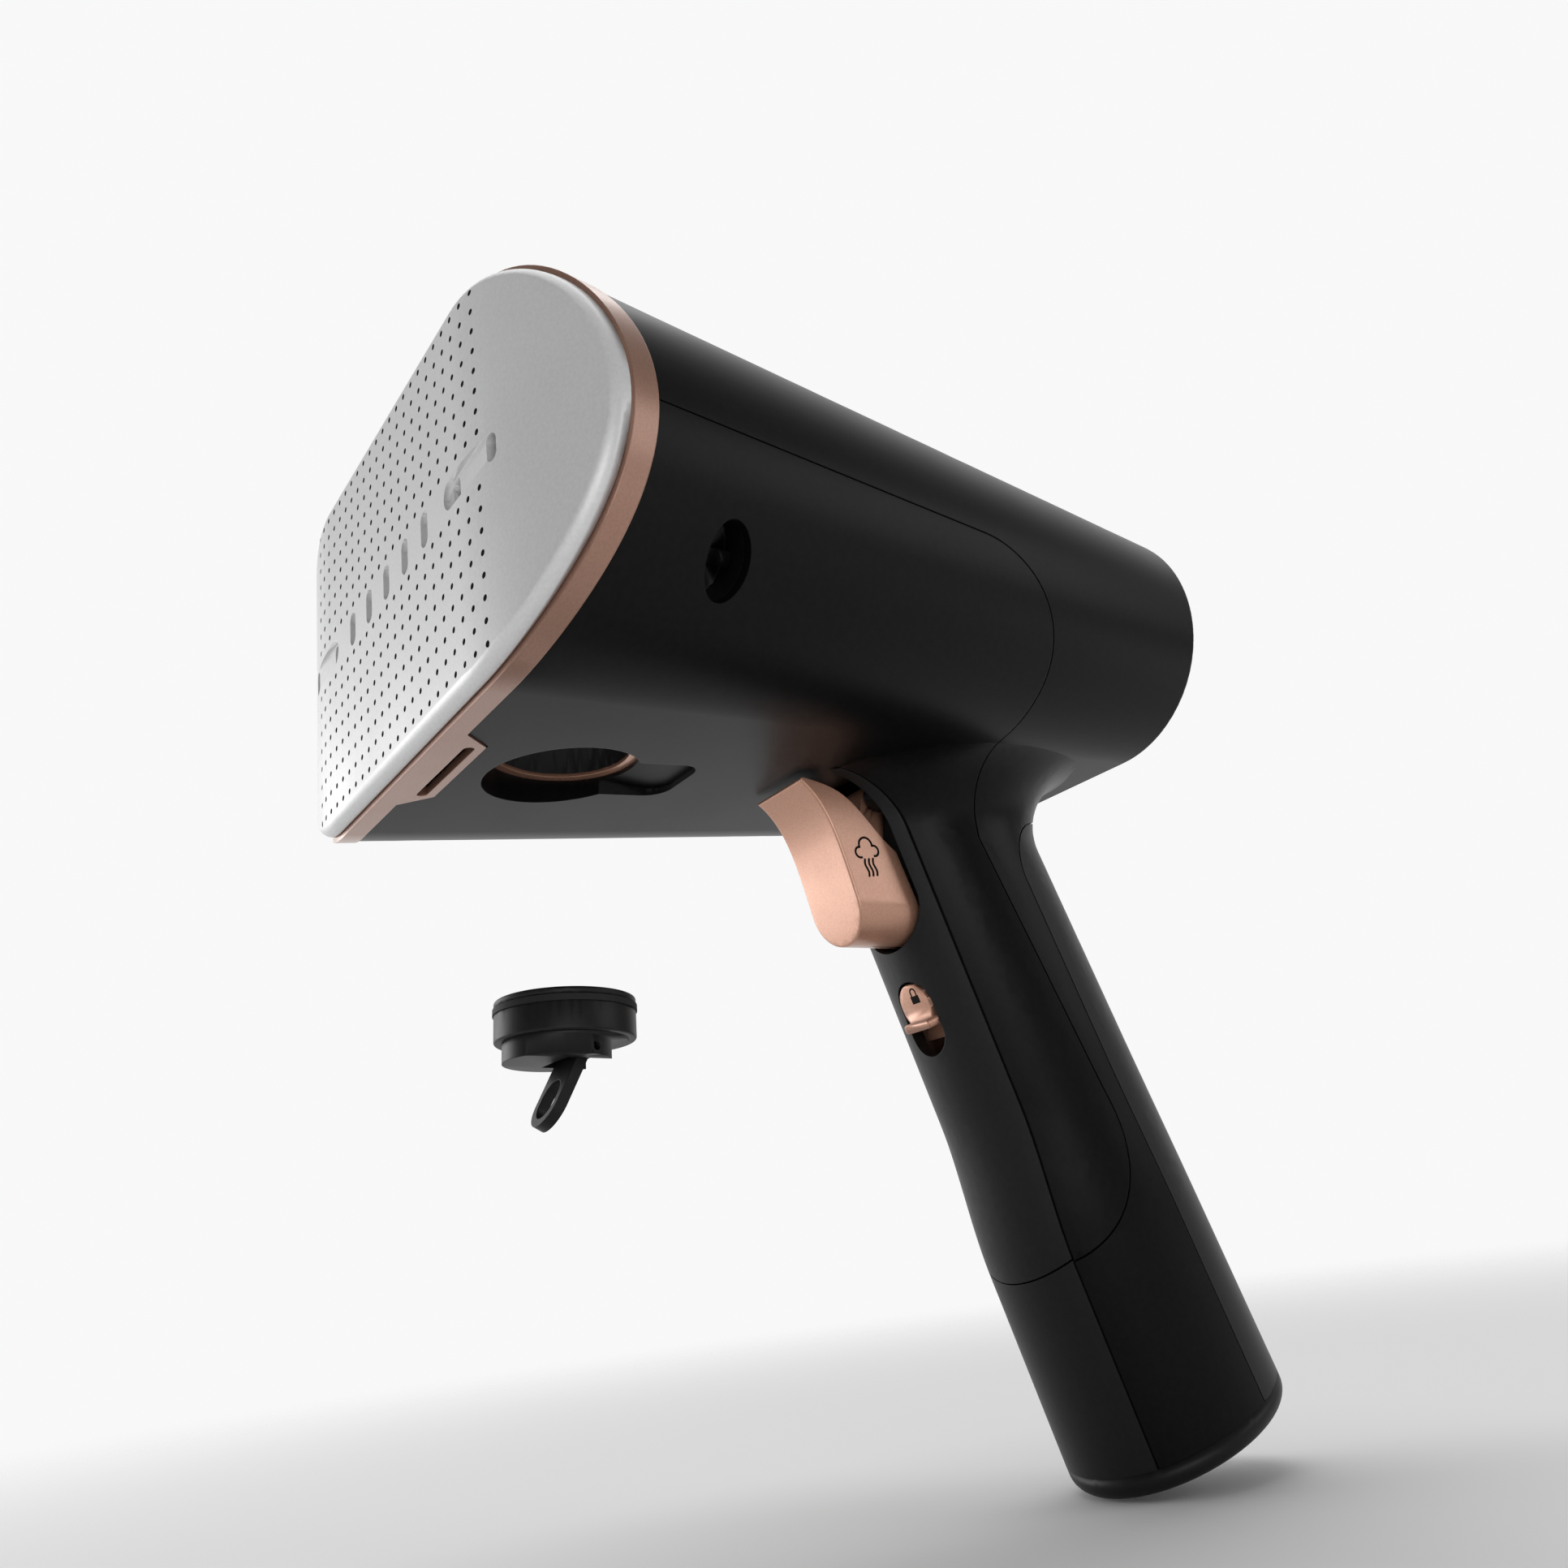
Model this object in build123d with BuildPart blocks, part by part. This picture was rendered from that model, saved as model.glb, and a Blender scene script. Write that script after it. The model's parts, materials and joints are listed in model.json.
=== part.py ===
"""Handheld garment steamer: a tapered steam head on a tilted handle.

Frame: millimetres, origin at the centre of the soleplate's face, +Y from the face to
the rear, +Z up, +X to the left hand of someone who looks at the face. The handle hangs
down from the rear half of the head. The scale cup is drawn out below its port.
"""
import os
from math import atan, cos, radians, sin

from build123d import *

os.makedirs("parts", exist_ok=True)

# Soleplate: flat in the middle, bent back at both ends
HOLE_PITCH = 3.6
FACE_FLAT_HALF = 31.7
FACE_BEND_R = 65.0
BEND_ARC = 60.0
PLATE_HALF_W = 65.2
PLATE_HALF_H = 33.0
PLATE_T = 2.5
PLATE_EDGE_R = 2.3
SKIRT_INSET = 2.6
SKIRT_WALL = 2.0
SKIRT_REAR = 6.0
GASKET_T = 1.2
GASKET_INSET = 3.8
DIMPLE_PITCH = 2.55 * HOLE_PITCH
DIMPLE_W = 3.0
DIMPLE_H = 6.4
DIMPLE_DEPTH = 0.9
END_SLOT_X = 37.0
END_SLOT_L = 20.0
END_SLOT_W = 5.2
JET_X = (30.4, 43.2)
JET_W = 2.6
JET_H = 4.6

# Trim ring behind the plate's edge, with a slotted tab under the head
TRIM_FRONT = 2.7
TRIM_REAR = 6.4
TRIM_PROUD = 0.3
TRIM_CLEARANCE = 0.2
TAB_HALF = 16.4
TAB_TIP_HALF = 11.7
TAB_REAR = 11.4
TAB_T = 1.6
TAB_SLOT = (23.0, 1.9)
TAB_SLOT_Y = 8.9

# Head: a stadium section that tapers to the rear
HEAD_LENGTH = 152.0
FRONT_HALF_W = 66.8
FRONT_HALF_H = 33.8
REAR_HALF_W = 46.9
REAR_HALF_H = 25.1
REAR_EDGE_R = 2.0
WALL = 2.2
SHELL_START = 6.7
SEAM_GAP = 0.3
SEAM_FRONT_Z = 0.8
SEAM_CORNER = (86.0, -2.0)
SEAM_DROP = (108.0, -24.0)

# Handle: elliptical sections on an axis tilted to the rear
HANDLE_Y = 111.6
HANDLE_Z = -36.0
HANDLE_TILT = 18.9
HANDLE_TOP = -34.0
HANDLE_END = 122.0
GRIP_HALF_W = 17.6
GRIP_HALF_D = 21.0
GRIP_GROW_W = 0.0143
GRIP_GROW_D = 0.0176
FLARE_START = 55.0
FLARE_END = 85.0
FLARE = 2.0
NECK_R = 14.0
STRIP_TOP = (4.6, 6.0)
STRIP_LOW = (1.7, 62.0)
STRIP_TIP = (18.6, 83.6)
PANEL_HALF_W = 11.5
PANEL_FRONT = 6.0
PANEL_END = 85.2
PANEL_END_SAG = 1.8
BACK_FRONT = -3.0
BACK_TOP = 7.0

# Trigger and its pivot, in the handle's side view: distance in front of the axis, height
TRIGGER_HALF_W = 7.5
TRIGGER_END_R = 7.4
TRIGGER_EDGE_R = 0.5
TRIGGER_FOOT_Z = -60.9
TRIGGER_TIP = (33.8, 17.9)
TRIGGER_NOSE = ((31.3, 14.4), (29.8, 9.4), (29.6, 2.0), (30.6, -8.4), (31.2, -24.0))
TRIGGER_BACK = ((21.0, -24.0), (17.0, -16.0))
TRIGGER_CHEEK = ((17.0, -2.5), (19.0, 1.0), (21.4, 6.8), (24.6, 12.0), (28.6, 15.1))
PIVOT = (15.0, 9.0)
PIVOT_PIN_R = 1.5
PIVOT_CLEARANCE = 0.05
LUG_R = 3.0
LUG_HALF_W = 5.4
LUG_ROOT = (21.5, -1.0)
OPENING_HALF_W = 9.4
OPENING_END_R = 9.2
OPENING_FOOT = -20.2
OPENING_L = 60.0
EAR_INNER = 6.0
EAR_OUTER = 8.2
BRACKET_FRONT = 6.0
BRACKET_T = 1.6
BRACKET_HALF_W = 13.6
BRACKET_TOP = 13.0
BRACKET_FOOT = -26.0
SWITCH_SIZE = (6.4, 4.8, 12.0)
SWITCH_UP = -18.0
PLUNGER_R = 1.2
PLUNGER_TIP = 13.9
LEAF = ((7.8, -9.4), (12.0, -8.6), (16.7, -4.4))
LEAF_T = 0.5
LEAF_W = 6.0

# Lock slider in its slot below the trigger
SLOT_UP = -33.9
SLOT_L = 15.0
SLOT_W = 9.0
SLIDER_TRAVEL = 3.5
SLIDER_PAD = (9.0, 7.8)
SLIDER_PAD_FRONT = 21.2
SLIDER_PLATE = (10.2, 13.6)
SLIDER_PLATE_FRONT = (16.0, 17.2)
SLIDER_RIB = (7.6, 1.8)
SLIDER_RIB_CORNER = 0.8
SLIDER_RIB_FRONT = 22.8
BED_HALF_W = 6.4
BED_ENDS = (-47.0, -22.0)
BED_FRONT = (14.4, 15.7, 17.2)
BED_POST_FRONT = 18.6
BED_POST = 3.0
BED_CLEARANCE = 0.2
BED_CHANNEL_L = 21.0

# Foot of the handle and the hose inlet
FOOT_T = 4.5
FOOT_EDGE_R = 2.5
SPIGOT_L = 6.0
GLAND_R = 8.0
GLAND_LIP_R = 10.5
GLAND_LIP_T = 2.4
GLAND_TOP = 108.0
INLET_R = 5.0
INLET_DEPTH = 16.5
NIPPLE_R = 3.0
NIPPLE_L = 6.0
NIPPLE_BORE_R = 1.8
TUBE_R = 4.2
TUBE_BORE_R = 3.1
TUBE_BEND_R = 24.0
TUBE_Z = -4.0

# Steam chamber behind the plate
CHAMBER_HALF_W = 42.0
CHAMBER_Z = (-17.0, 23.0)
CHAMBER_Y = (9.0, 40.0)
CHAMBER_WALL = 4.0
CHAMBER_FLOOR = 9.0
CHAMBER_CORNER = 7.0
CHAMBER_RIBS = (-22.0, 0.0, 22.0)
RIB_T = 2.4
RIB_REACH = 20.0
RIB_H = 22.0
COVER_T = 3.0
STEAM_PASSAGES = (-26.0, 0.0, 26.0)
PASSAGE_R = 2.4
BOSS_X = 35.0
BOSS_Z = 13.0
BOSS_W = 7.2
HEATER_R = 3.4
HEATER_CLEARANCE = 0.1
HEATER_Y = 13.0
HEATER_Z = (-10.0, 16.0)
HEATER_BEND_X = 20.0
HEATER_END_X = -49.0
COVER_PIPE_R = 2.9
COVER_PIPE_L = 12.0
SCREW_X = 37.6
SCREW_Z = 15.6
SCREW_R = 1.5
SCREW_HEAD_R = 3.0
SCREW_HEAD_T = 1.8
SCREW_L = 10.0
THERMOSTAT_X = 20.0
THERMOSTAT_R = 8.0
THERMOSTAT_T = 5.0
BLADE = (1.0, 4.0, 6.0)
FUSE_X = -24.0
FUSE_R = 2.2
FUSE_L = 13.0

# Scale port under the head, and the cup that closes it
PORT_Y = 30.0
PORT_R = 13.7
PORT_COLLAR_R = 15.6
PORT_DEPTH = 4.6
PORT_RING_T = 0.7
SOCKET_R = 11.9
SOCKET_OUTER_R = 14.2
SOCKET_ROOF = 10.6
SOCKET_DRAIN_R = 8.0
NOTCH_HALF_W = 8.0
NOTCH_REACH = 24.0
NOTCH_DEPTH = 3.8
NOTCH_WALL = 1.4
NOTCH_CORNER_R = 4.0
CUP_OUT = 39.5
COLLAR_R = 11.4
COLLAR_H = 6.7
COLLAR_EDGE = 0.4
CUP_R = 10.0
CUP_WALL = 1.4
CUP_H = 6.9
CUP_FLOOR = 1.6
CUP_BOSS_R = 8.7
CUP_BOSS_SHIFT = -1.5
CUP_BOSS_H = 3.0
SEAL_T = 1.0
SEAL_INNER_R = 10.6
SEAL_OUTER_R = 11.6
SEAL_DROP = 2.2
TAB_PIN_R = 0.7
TAB_PIN_HALF_L = 6.5
TAB_PIN_Y = 1.5
TAB_PIN_DROP = 8.6
TAB_LEAN = 27.0
PULL_HALF_W = 4.2
PULL_L = 13.2
PULL_T = 1.8
PULL_KNUCKLE_R = 1.4
PULL_HOLE = (6.8, 5.6)
PULL_RING_T = 1.4
PULL_GROOVE = 4.7

# Accessory sockets in both sides of the head
SIDE_POINT = (56.1, 31.1, -19.4)
SIDE_NORMAL = (0.795, 0.0, -0.607)
SIDE_OVAL = (3.9, 6.2)
SIDE_CUP_WALL = 1.4
SIDE_CUP_DEPTH = 10.0
SIDE_RIB = (2.2, 2.4, 4.0)

# Space that reaches past the whole object
REACH = 220.0

TILT_SIN = sin(radians(HANDLE_TILT))
TILT_COS = cos(radians(HANDLE_TILT))
HANDLE_ORIGIN = (0, HANDLE_Y, HANDLE_Z)
HANDLE_FORWARD = (0, -TILT_COS, -TILT_SIN)
HANDLE_DOWN = (0, TILT_SIN, -TILT_COS)
HANDLE = Plane(origin=HANDLE_ORIGIN, x_dir=(1, 0, 0), z_dir=HANDLE_DOWN)
HANDLE_SIDE = Plane(origin=HANDLE_ORIGIN, x_dir=HANDLE_FORWARD, z_dir=(-1, 0, 0))
HANDLE_FACE = Plane(origin=HANDLE_ORIGIN, x_dir=(1, 0, 0), z_dir=HANDLE_FORWARD)


def on_handle(front, up):
    """World Y and Z of a point given in the handle's side view."""
    y = HANDLE_Y - front * TILT_COS - up * TILT_SIN
    z = HANDLE_Z - front * TILT_SIN + up * TILT_COS
    return y, z


def across(depth):
    """Plane across the head at a depth behind the face; its normal points to the rear."""
    return Plane(origin=(0, depth, 0), x_dir=(1, 0, 0), z_dir=(0, 1, 0))


def head_half_w(depth):
    return FRONT_HALF_W + (REAR_HALF_W - FRONT_HALF_W) * depth / HEAD_LENGTH


def head_half_h(depth):
    return FRONT_HALF_H + (REAR_HALF_H - FRONT_HALF_H) * depth / HEAD_LENGTH


# The port stands square to the sloping underside; its local Z points into the head
UNDERSIDE_SLOPE = (FRONT_HALF_H - REAR_HALF_H) / HEAD_LENGTH
PORT = Plane(origin=(0, PORT_Y, -head_half_h(PORT_Y)), x_dir=(1, 0, 0), z_dir=(0, UNDERSIDE_SLOPE, 1))


def head_block(grow, front=0.0, rear=HEAD_LENGTH):
    """The head's tapered form, grown outwards, between two depths."""
    with BuildPart() as block:
        for depth in (front, rear):
            with BuildSketch(across(depth)):
                SlotOverall(2 * (head_half_w(depth) + grow), 2 * (head_half_h(depth) + grow))
        loft(ruled=True)
    return block.part


def stadium_block(half_w, half_h, front=-1.0, rear=40.0):
    """A straight block with a stadium section."""
    with BuildPart() as block:
        with BuildSketch(across(front)):
            SlotOverall(2 * half_w, 2 * half_h)
        extrude(amount=rear - front)
    return block.part


def behind_face(setback):
    """All space behind the face's curve, the curve moved back by a setback."""
    bend = FACE_BEND_R - setback
    with BuildPart() as space:
        with BuildSketch(Plane.XY.offset(-REACH)):
            with BuildLine():
                Line((-FACE_FLAT_HALF, setback), (FACE_FLAT_HALF, setback))
                right = CenterArc((FACE_FLAT_HALF, FACE_BEND_R), bend, -90, BEND_ARC)
                left = CenterArc((-FACE_FLAT_HALF, FACE_BEND_R), bend, -90, -BEND_ARC)
                right_end = right @ 1
                left_end = left @ 1
                Polyline(right_end, (right_end.X, REACH), (left_end.X, REACH), left_end)
            make_face()
        extrude(amount=2 * REACH)
    return space.part


def flare(down):
    """How far the lower handle swells, eased in between two stations."""
    share = min(max((down - FLARE_START) / (FLARE_END - FLARE_START), 0.0), 1.0)
    return FLARE * share * share * (3 - 2 * share)


def grip_section(down, grow=0.0):
    """Half width, half depth and forward shift of the handle's ellipse at a station."""
    swell = flare(down)
    half_w = GRIP_HALF_W + GRIP_GROW_W * down + 0.35 * swell + grow
    half_d = GRIP_HALF_D + GRIP_GROW_D * down + 0.6 * swell + grow
    return half_w, half_d, 0.6 * swell


def handle_block(grow):
    """The handle's form, grown outwards: a straight grip, an eased flare and a straight end."""
    flare_steps = [FLARE_START + (FLARE_END - FLARE_START) * i / 4 for i in range(5)]
    with BuildPart() as block:
        for stations in ((HANDLE_TOP, FLARE_START), flare_steps, (FLARE_END, HANDLE_END)):
            for down in stations:
                half_w, half_d, shift = grip_section(down, grow)
                with BuildSketch(HANDLE.offset(down)):
                    with Locations((0, shift)):
                        Ellipse(half_w, half_d)
            loft(ruled=len(stations) == 2)
    return block.part


def lower_region(grow=0.0):
    """Space of the lower shell in side view: under the head's seam and along the handle."""
    strip_top = on_handle(STRIP_TOP[0], -STRIP_TOP[1])
    strip_low = on_handle(STRIP_LOW[0], -STRIP_LOW[1])
    strip_tip = on_handle(STRIP_TIP[0], -STRIP_TIP[1])
    strip_out = on_handle(2 * STRIP_TIP[0], -STRIP_TIP[1] - 2)
    with BuildPart() as region:
        with BuildSketch(Plane.YZ):
            with BuildLine():
                seam = Line((-REACH, SEAM_FRONT_Z), SEAM_CORNER)
                corner = TangentArc(seam @ 1, SEAM_DROP, tangent=seam % 1)
                Line(corner @ 1, strip_top)
                strip = Line(strip_top, strip_low)
                tip = TangentArc(strip @ 1, strip_tip, tangent=strip % 1)
                Polyline(tip @ 1, strip_out, (-REACH, strip_out[1]), seam @ 0)
            make_face()
            if grow:
                offset(amount=grow, kind=Kind.INTERSECTION)
        extrude(amount=REACH, both=True)
    return region.part


def panel_region(grow=0.0):
    """Space of the handle's front panel, closed below by a shallow arc."""
    half = PANEL_HALF_W + grow
    end = -PANEL_END - grow
    with BuildPart() as region:
        with BuildSketch(HANDLE_FACE.offset(PANEL_FRONT - grow)):
            with BuildLine():
                ThreePointArc((-half, end + PANEL_END_SAG), (0, end), (half, end + PANEL_END_SAG))
                Polyline((half, end + PANEL_END_SAG), (half, REACH / 4), (-half, REACH / 4),
                         (-half, end + PANEL_END_SAG))
            make_face()
        extrude(amount=REACH / 4)
    return region.part


def front_foot_region(grow=0.0):
    """Space of the lower front cover, below the front panel."""
    half = PANEL_HALF_W + grow
    top = -PANEL_END - SEAM_GAP + grow
    with BuildPart() as region:
        with BuildSketch(HANDLE_FACE.offset(PANEL_FRONT - grow)):
            with BuildLine():
                ThreePointArc((-half, top + PANEL_END_SAG), (0, top), (half, top + PANEL_END_SAG))
                Polyline((half, top + PANEL_END_SAG), (half, -HANDLE_END - 1),
                         (-half, -HANDLE_END - 1), (-half, top + PANEL_END_SAG))
            make_face()
        extrude(amount=REACH / 4)
    return region.part


def back_region(grow=0.0):
    """Space of the handle's back cover, behind the crease."""
    with BuildPart() as region:
        with BuildSketch(HANDLE_SIDE):
            with BuildLine():
                Polyline((BACK_FRONT + grow, -HANDLE_END - 1), (BACK_FRONT + grow, -BACK_TOP - 10))
                Polyline((-REACH / 4, -BACK_TOP + grow), (-REACH / 4, -HANDLE_END - 1),
                         (BACK_FRONT + grow, -HANDLE_END - 1))
                Line((BACK_FRONT - 10 + grow, -BACK_TOP + grow), (-REACH / 4, -BACK_TOP + grow))
                TangentArc((BACK_FRONT + grow, -BACK_TOP - 10),
                           (BACK_FRONT - 10 + grow, -BACK_TOP + grow), tangent=(0, 1))
            make_face()
        extrude(amount=REACH / 4, both=True)
    return region.part


# Whole outer form, its hollow, and the skin between them
with BuildPart() as form:
    add(head_block(0))
    fillet(form.faces().sort_by(Axis.Y)[-1].edges(), REAR_EDGE_R)
    add(handle_block(0))
    neck = form.edges().filter_by(lambda e: e.is_closed and HANDLE_Z < e.center().Z < 0)
    fillet(neck, NECK_R)

with BuildPart() as hollow:
    add(head_block(-WALL, -1.0, HEAD_LENGTH - WALL))
    add(handle_block(-WALL))

with BuildPart() as skin:
    add(form.part)
    add(hollow.part, mode=Mode.SUBTRACT)
    add(behind_face(SHELL_START), mode=Mode.INTERSECT)

head_form = head_block(0)

# Soleplate: bent face with a rounded edge, a skirt, bosses, dimples and jets
face_space = behind_face(0)
plate_back = behind_face(PLATE_T)
skirt_end = behind_face(SKIRT_REAR)

with BuildPart() as skirt:
    add(stadium_block(PLATE_HALF_W - SKIRT_INSET, PLATE_HALF_H - SKIRT_INSET))
    add(stadium_block(PLATE_HALF_W - SKIRT_INSET - SKIRT_WALL, PLATE_HALF_H - SKIRT_INSET - SKIRT_WALL),
        mode=Mode.SUBTRACT)
    add(plate_back, mode=Mode.INTERSECT)
    add(skirt_end, mode=Mode.SUBTRACT)

with BuildPart() as soleplate:
    add(stadium_block(PLATE_HALF_W, PLATE_HALF_H))
    add(face_space, mode=Mode.INTERSECT)
    add(plate_back, mode=Mode.SUBTRACT)
    face = soleplate.faces().filter_by(lambda f: f.normal_at().Y < -0.5)
    rim = ShapeList([e for f in face for e in f.edges()]).filter_by(Axis.Z, reverse=True)
    fillet(rim, PLATE_EDGE_R)
    add(skirt.part)
    with BuildSketch(across(CHAMBER_Y[0])):
        with GridLocations(2 * BOSS_X, 2 * BOSS_Z, 2, 2):
            Rectangle(BOSS_W, BOSS_W)
    extrude(until=Until.PREVIOUS)
    with BuildSketch(across(-1)):
        with GridLocations(DIMPLE_PITCH, 0, 5, 1):
            SlotOverall(DIMPLE_H, DIMPLE_W, rotation=90)
        with GridLocations(2 * END_SLOT_X, 0, 2, 1):
            SlotOverall(END_SLOT_L, END_SLOT_W)
    extrude(amount=1 + DIMPLE_DEPTH, mode=Mode.SUBTRACT)
    with BuildSketch(across(-1)):
        for side in (-1, 1):
            with Locations(*[(side * x, 0) for x in JET_X]):
                SlotOverall(JET_H, JET_W, rotation=90)
    extrude(amount=1 + CHAMBER_Y[0], mode=Mode.SUBTRACT)
soleplate.part.label = "soleplate"
export_step(soleplate.part, "parts/soleplate.step")

# Gasket behind the skirt
with BuildPart() as soleplate_gasket:
    add(stadium_block(PLATE_HALF_W - GASKET_INSET, PLATE_HALF_H - GASKET_INSET))
    add(stadium_block(PLATE_HALF_W - GASKET_INSET - SKIRT_WALL, PLATE_HALF_H - GASKET_INSET - SKIRT_WALL),
        mode=Mode.SUBTRACT)
    add(skirt_end, mode=Mode.INTERSECT)
    add(behind_face(SKIRT_REAR + GASKET_T), mode=Mode.SUBTRACT)
soleplate_gasket.part.label = "soleplate_gasket"
export_step(soleplate_gasket.part, "parts/soleplate_gasket.step")


def tab_space(grow):
    """Upright space of the trim's tab, seen from below."""
    with BuildPart() as space:
        with BuildSketch(Plane.XY.offset(-FRONT_HALF_H - 5)):
            with BuildLine():
                Polyline((-TAB_HALF, 0), (TAB_HALF, 0), (TAB_HALF, TRIM_REAR), (TAB_TIP_HALF, TAB_REAR),
                         (-TAB_TIP_HALF, TAB_REAR), (-TAB_HALF, TRIM_REAR), close=True)
            make_face()
            if grow:
                offset(amount=grow, kind=Kind.INTERSECTION)
        extrude(amount=FRONT_HALF_H / 2)
    return space.part


# Trim ring: a band round the head with a slotted tab below
with BuildPart() as tab:
    add(head_block(TRIM_PROUD, 0, 40))
    add(head_block(TRIM_PROUD - TAB_T, -1, 41), mode=Mode.SUBTRACT)
    add(tab_space(0), mode=Mode.INTERSECT)
    add(behind_face(TRIM_FRONT), mode=Mode.INTERSECT)

with BuildPart() as trim_ring:
    add(head_block(TRIM_PROUD, 0, 40))
    add(stadium_block(PLATE_HALF_W - SKIRT_INSET + TRIM_CLEARANCE, PLATE_HALF_H - SKIRT_INSET + TRIM_CLEARANCE),
        mode=Mode.SUBTRACT)
    add(behind_face(TRIM_FRONT), mode=Mode.INTERSECT)
    add(behind_face(TRIM_REAR), mode=Mode.SUBTRACT)
    add(tab.part)
    with BuildSketch(Plane.XY.offset(-FRONT_HALF_H - 5)):
        with Locations((0, TAB_SLOT_Y)):
            SlotOverall(*TAB_SLOT)
    extrude(amount=FRONT_HALF_H / 2, mode=Mode.SUBTRACT)
trim_ring.part.label = "trim_ring"
export_step(trim_ring.part, "parts/trim_ring.step")


# Lower shell: underside of the head, neck and side strips, with the port and the side ovals
def side_plane(side):
    """Plane on the side of the head, with its normal out of an accessory socket."""
    x, y, z = SIDE_POINT
    return Plane(origin=(side * x, y, z), x_dir=(0, 1, 0),
                 z_dir=(side * SIDE_NORMAL[0], SIDE_NORMAL[1], SIDE_NORMAL[2]))


with BuildPart() as panel_clear:
    add(panel_region(SEAM_GAP))
    add(head_form, mode=Mode.SUBTRACT)

with BuildPart() as port_walls:
    with BuildSketch(PORT.offset(-PORT_DEPTH)):
        Circle(PORT_COLLAR_R)
    extrude(amount=2 * PORT_DEPTH)
    with BuildSketch(PORT.offset(-PORT_DEPTH)):
        with Locations((0, (NOTCH_REACH + NOTCH_WALL) / 2)):
            RectangleRounded(2 * (NOTCH_HALF_W + NOTCH_WALL), NOTCH_REACH + NOTCH_WALL, NOTCH_CORNER_R)
    extrude(amount=PORT_DEPTH + NOTCH_DEPTH + NOTCH_WALL)
    add(head_form, mode=Mode.INTERSECT)

with BuildPart() as lower_shell:
    add(skin.part)
    add(lower_region(), mode=Mode.INTERSECT)
    add(panel_clear.part, mode=Mode.SUBTRACT)
    add(front_foot_region(SEAM_GAP), mode=Mode.SUBTRACT)
    add(tab_space(SEAM_GAP), mode=Mode.SUBTRACT)
    add(port_walls.part)
    with BuildSketch(PORT.offset(-PORT_DEPTH)):
        with Locations((0, NOTCH_REACH / 2)):
            RectangleRounded(2 * NOTCH_HALF_W, NOTCH_REACH, NOTCH_CORNER_R)
    extrude(amount=PORT_DEPTH + NOTCH_DEPTH, mode=Mode.SUBTRACT)
    with BuildSketch(PORT.offset(-PORT_DEPTH)):
        Circle(PORT_R)
    extrude(amount=3 * PORT_DEPTH, mode=Mode.SUBTRACT)
    with BuildSketch(PORT.offset(PORT_DEPTH)):
        Circle(PORT_COLLAR_R)
    extrude(amount=NOTCH_WALL, mode=Mode.SUBTRACT)
    for side in (1, -1):
        with BuildSketch(side_plane(side)):
            Ellipse(*SIDE_OVAL)
        extrude(amount=SIDE_CUP_DEPTH, both=True, mode=Mode.SUBTRACT)
lower_shell.part.label = "lower_shell"
export_step(lower_shell.part, "parts/lower_shell.step")

# Top cover: top and rear of the head, the band round the handle's top and its lower sides
with BuildPart() as top_cover:
    add(skin.part)
    add(lower_region(SEAM_GAP), mode=Mode.SUBTRACT)
    add(panel_clear.part, mode=Mode.SUBTRACT)
    add(front_foot_region(SEAM_GAP), mode=Mode.SUBTRACT)
    add(back_region(SEAM_GAP), mode=Mode.SUBTRACT)
top_cover.part.label = "top_cover"
export_step(top_cover.part, "parts/top_cover.step")

# Handle covers
with BuildPart() as handle_back_cover:
    add(skin.part)
    add(back_region(), mode=Mode.INTERSECT)
handle_back_cover.part.label = "handle_back_cover"
export_step(handle_back_cover.part, "parts/handle_back_cover.step")

with BuildPart() as handle_front_panel:
    add(skin.part)
    add(panel_region(), mode=Mode.INTERSECT)
    add(head_block(SEAM_GAP), mode=Mode.SUBTRACT)
    with BuildSketch(HANDLE_FACE.offset(PANEL_FRONT)):
        with Locations((0, OPENING_FOOT + OPENING_L / 2)):
            RectangleRounded(2 * OPENING_HALF_W, OPENING_L, OPENING_END_R)
        with Locations((0, SLOT_UP)):
            SlotOverall(SLOT_L, SLOT_W, rotation=90)
    extrude(amount=REACH / 4, mode=Mode.SUBTRACT)
handle_front_panel.part.label = "handle_front_panel"
export_step(handle_front_panel.part, "parts/handle_front_panel.step")

with BuildPart() as handle_front_foot:
    add(skin.part)
    add(front_foot_region(), mode=Mode.INTERSECT)
handle_front_foot.part.label = "handle_front_foot"
export_step(handle_front_foot.part, "parts/handle_front_foot.step")

# Foot of the handle, with a spigot inside the covers and a bore for the hose gland
foot_half_w, foot_half_d, foot_shift = grip_section(HANDLE_END)
with BuildPart() as handle_foot:
    with BuildSketch(HANDLE.offset(HANDLE_END)):
        with Locations((0, foot_shift)):
            Ellipse(foot_half_w, foot_half_d)
    extrude(amount=FOOT_T)
    fillet(handle_foot.faces().sort_by(Axis.Z)[0].edges(), FOOT_EDGE_R)
    with BuildSketch(HANDLE.offset(HANDLE_END - SPIGOT_L)):
        with Locations((0, foot_shift)):
            Ellipse(foot_half_w - WALL - SEAM_GAP, foot_half_d - WALL - SEAM_GAP)
            Ellipse(foot_half_w - 2 * WALL - SEAM_GAP, foot_half_d - 2 * WALL - SEAM_GAP,
                    mode=Mode.SUBTRACT)
    extrude(amount=SPIGOT_L)
    with BuildSketch(HANDLE.offset(HANDLE_END)):
        Circle(GLAND_R)
    extrude(amount=FOOT_T, mode=Mode.SUBTRACT)
handle_foot.part.label = "handle_foot"
export_step(handle_foot.part, "parts/handle_foot.step")

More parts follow.
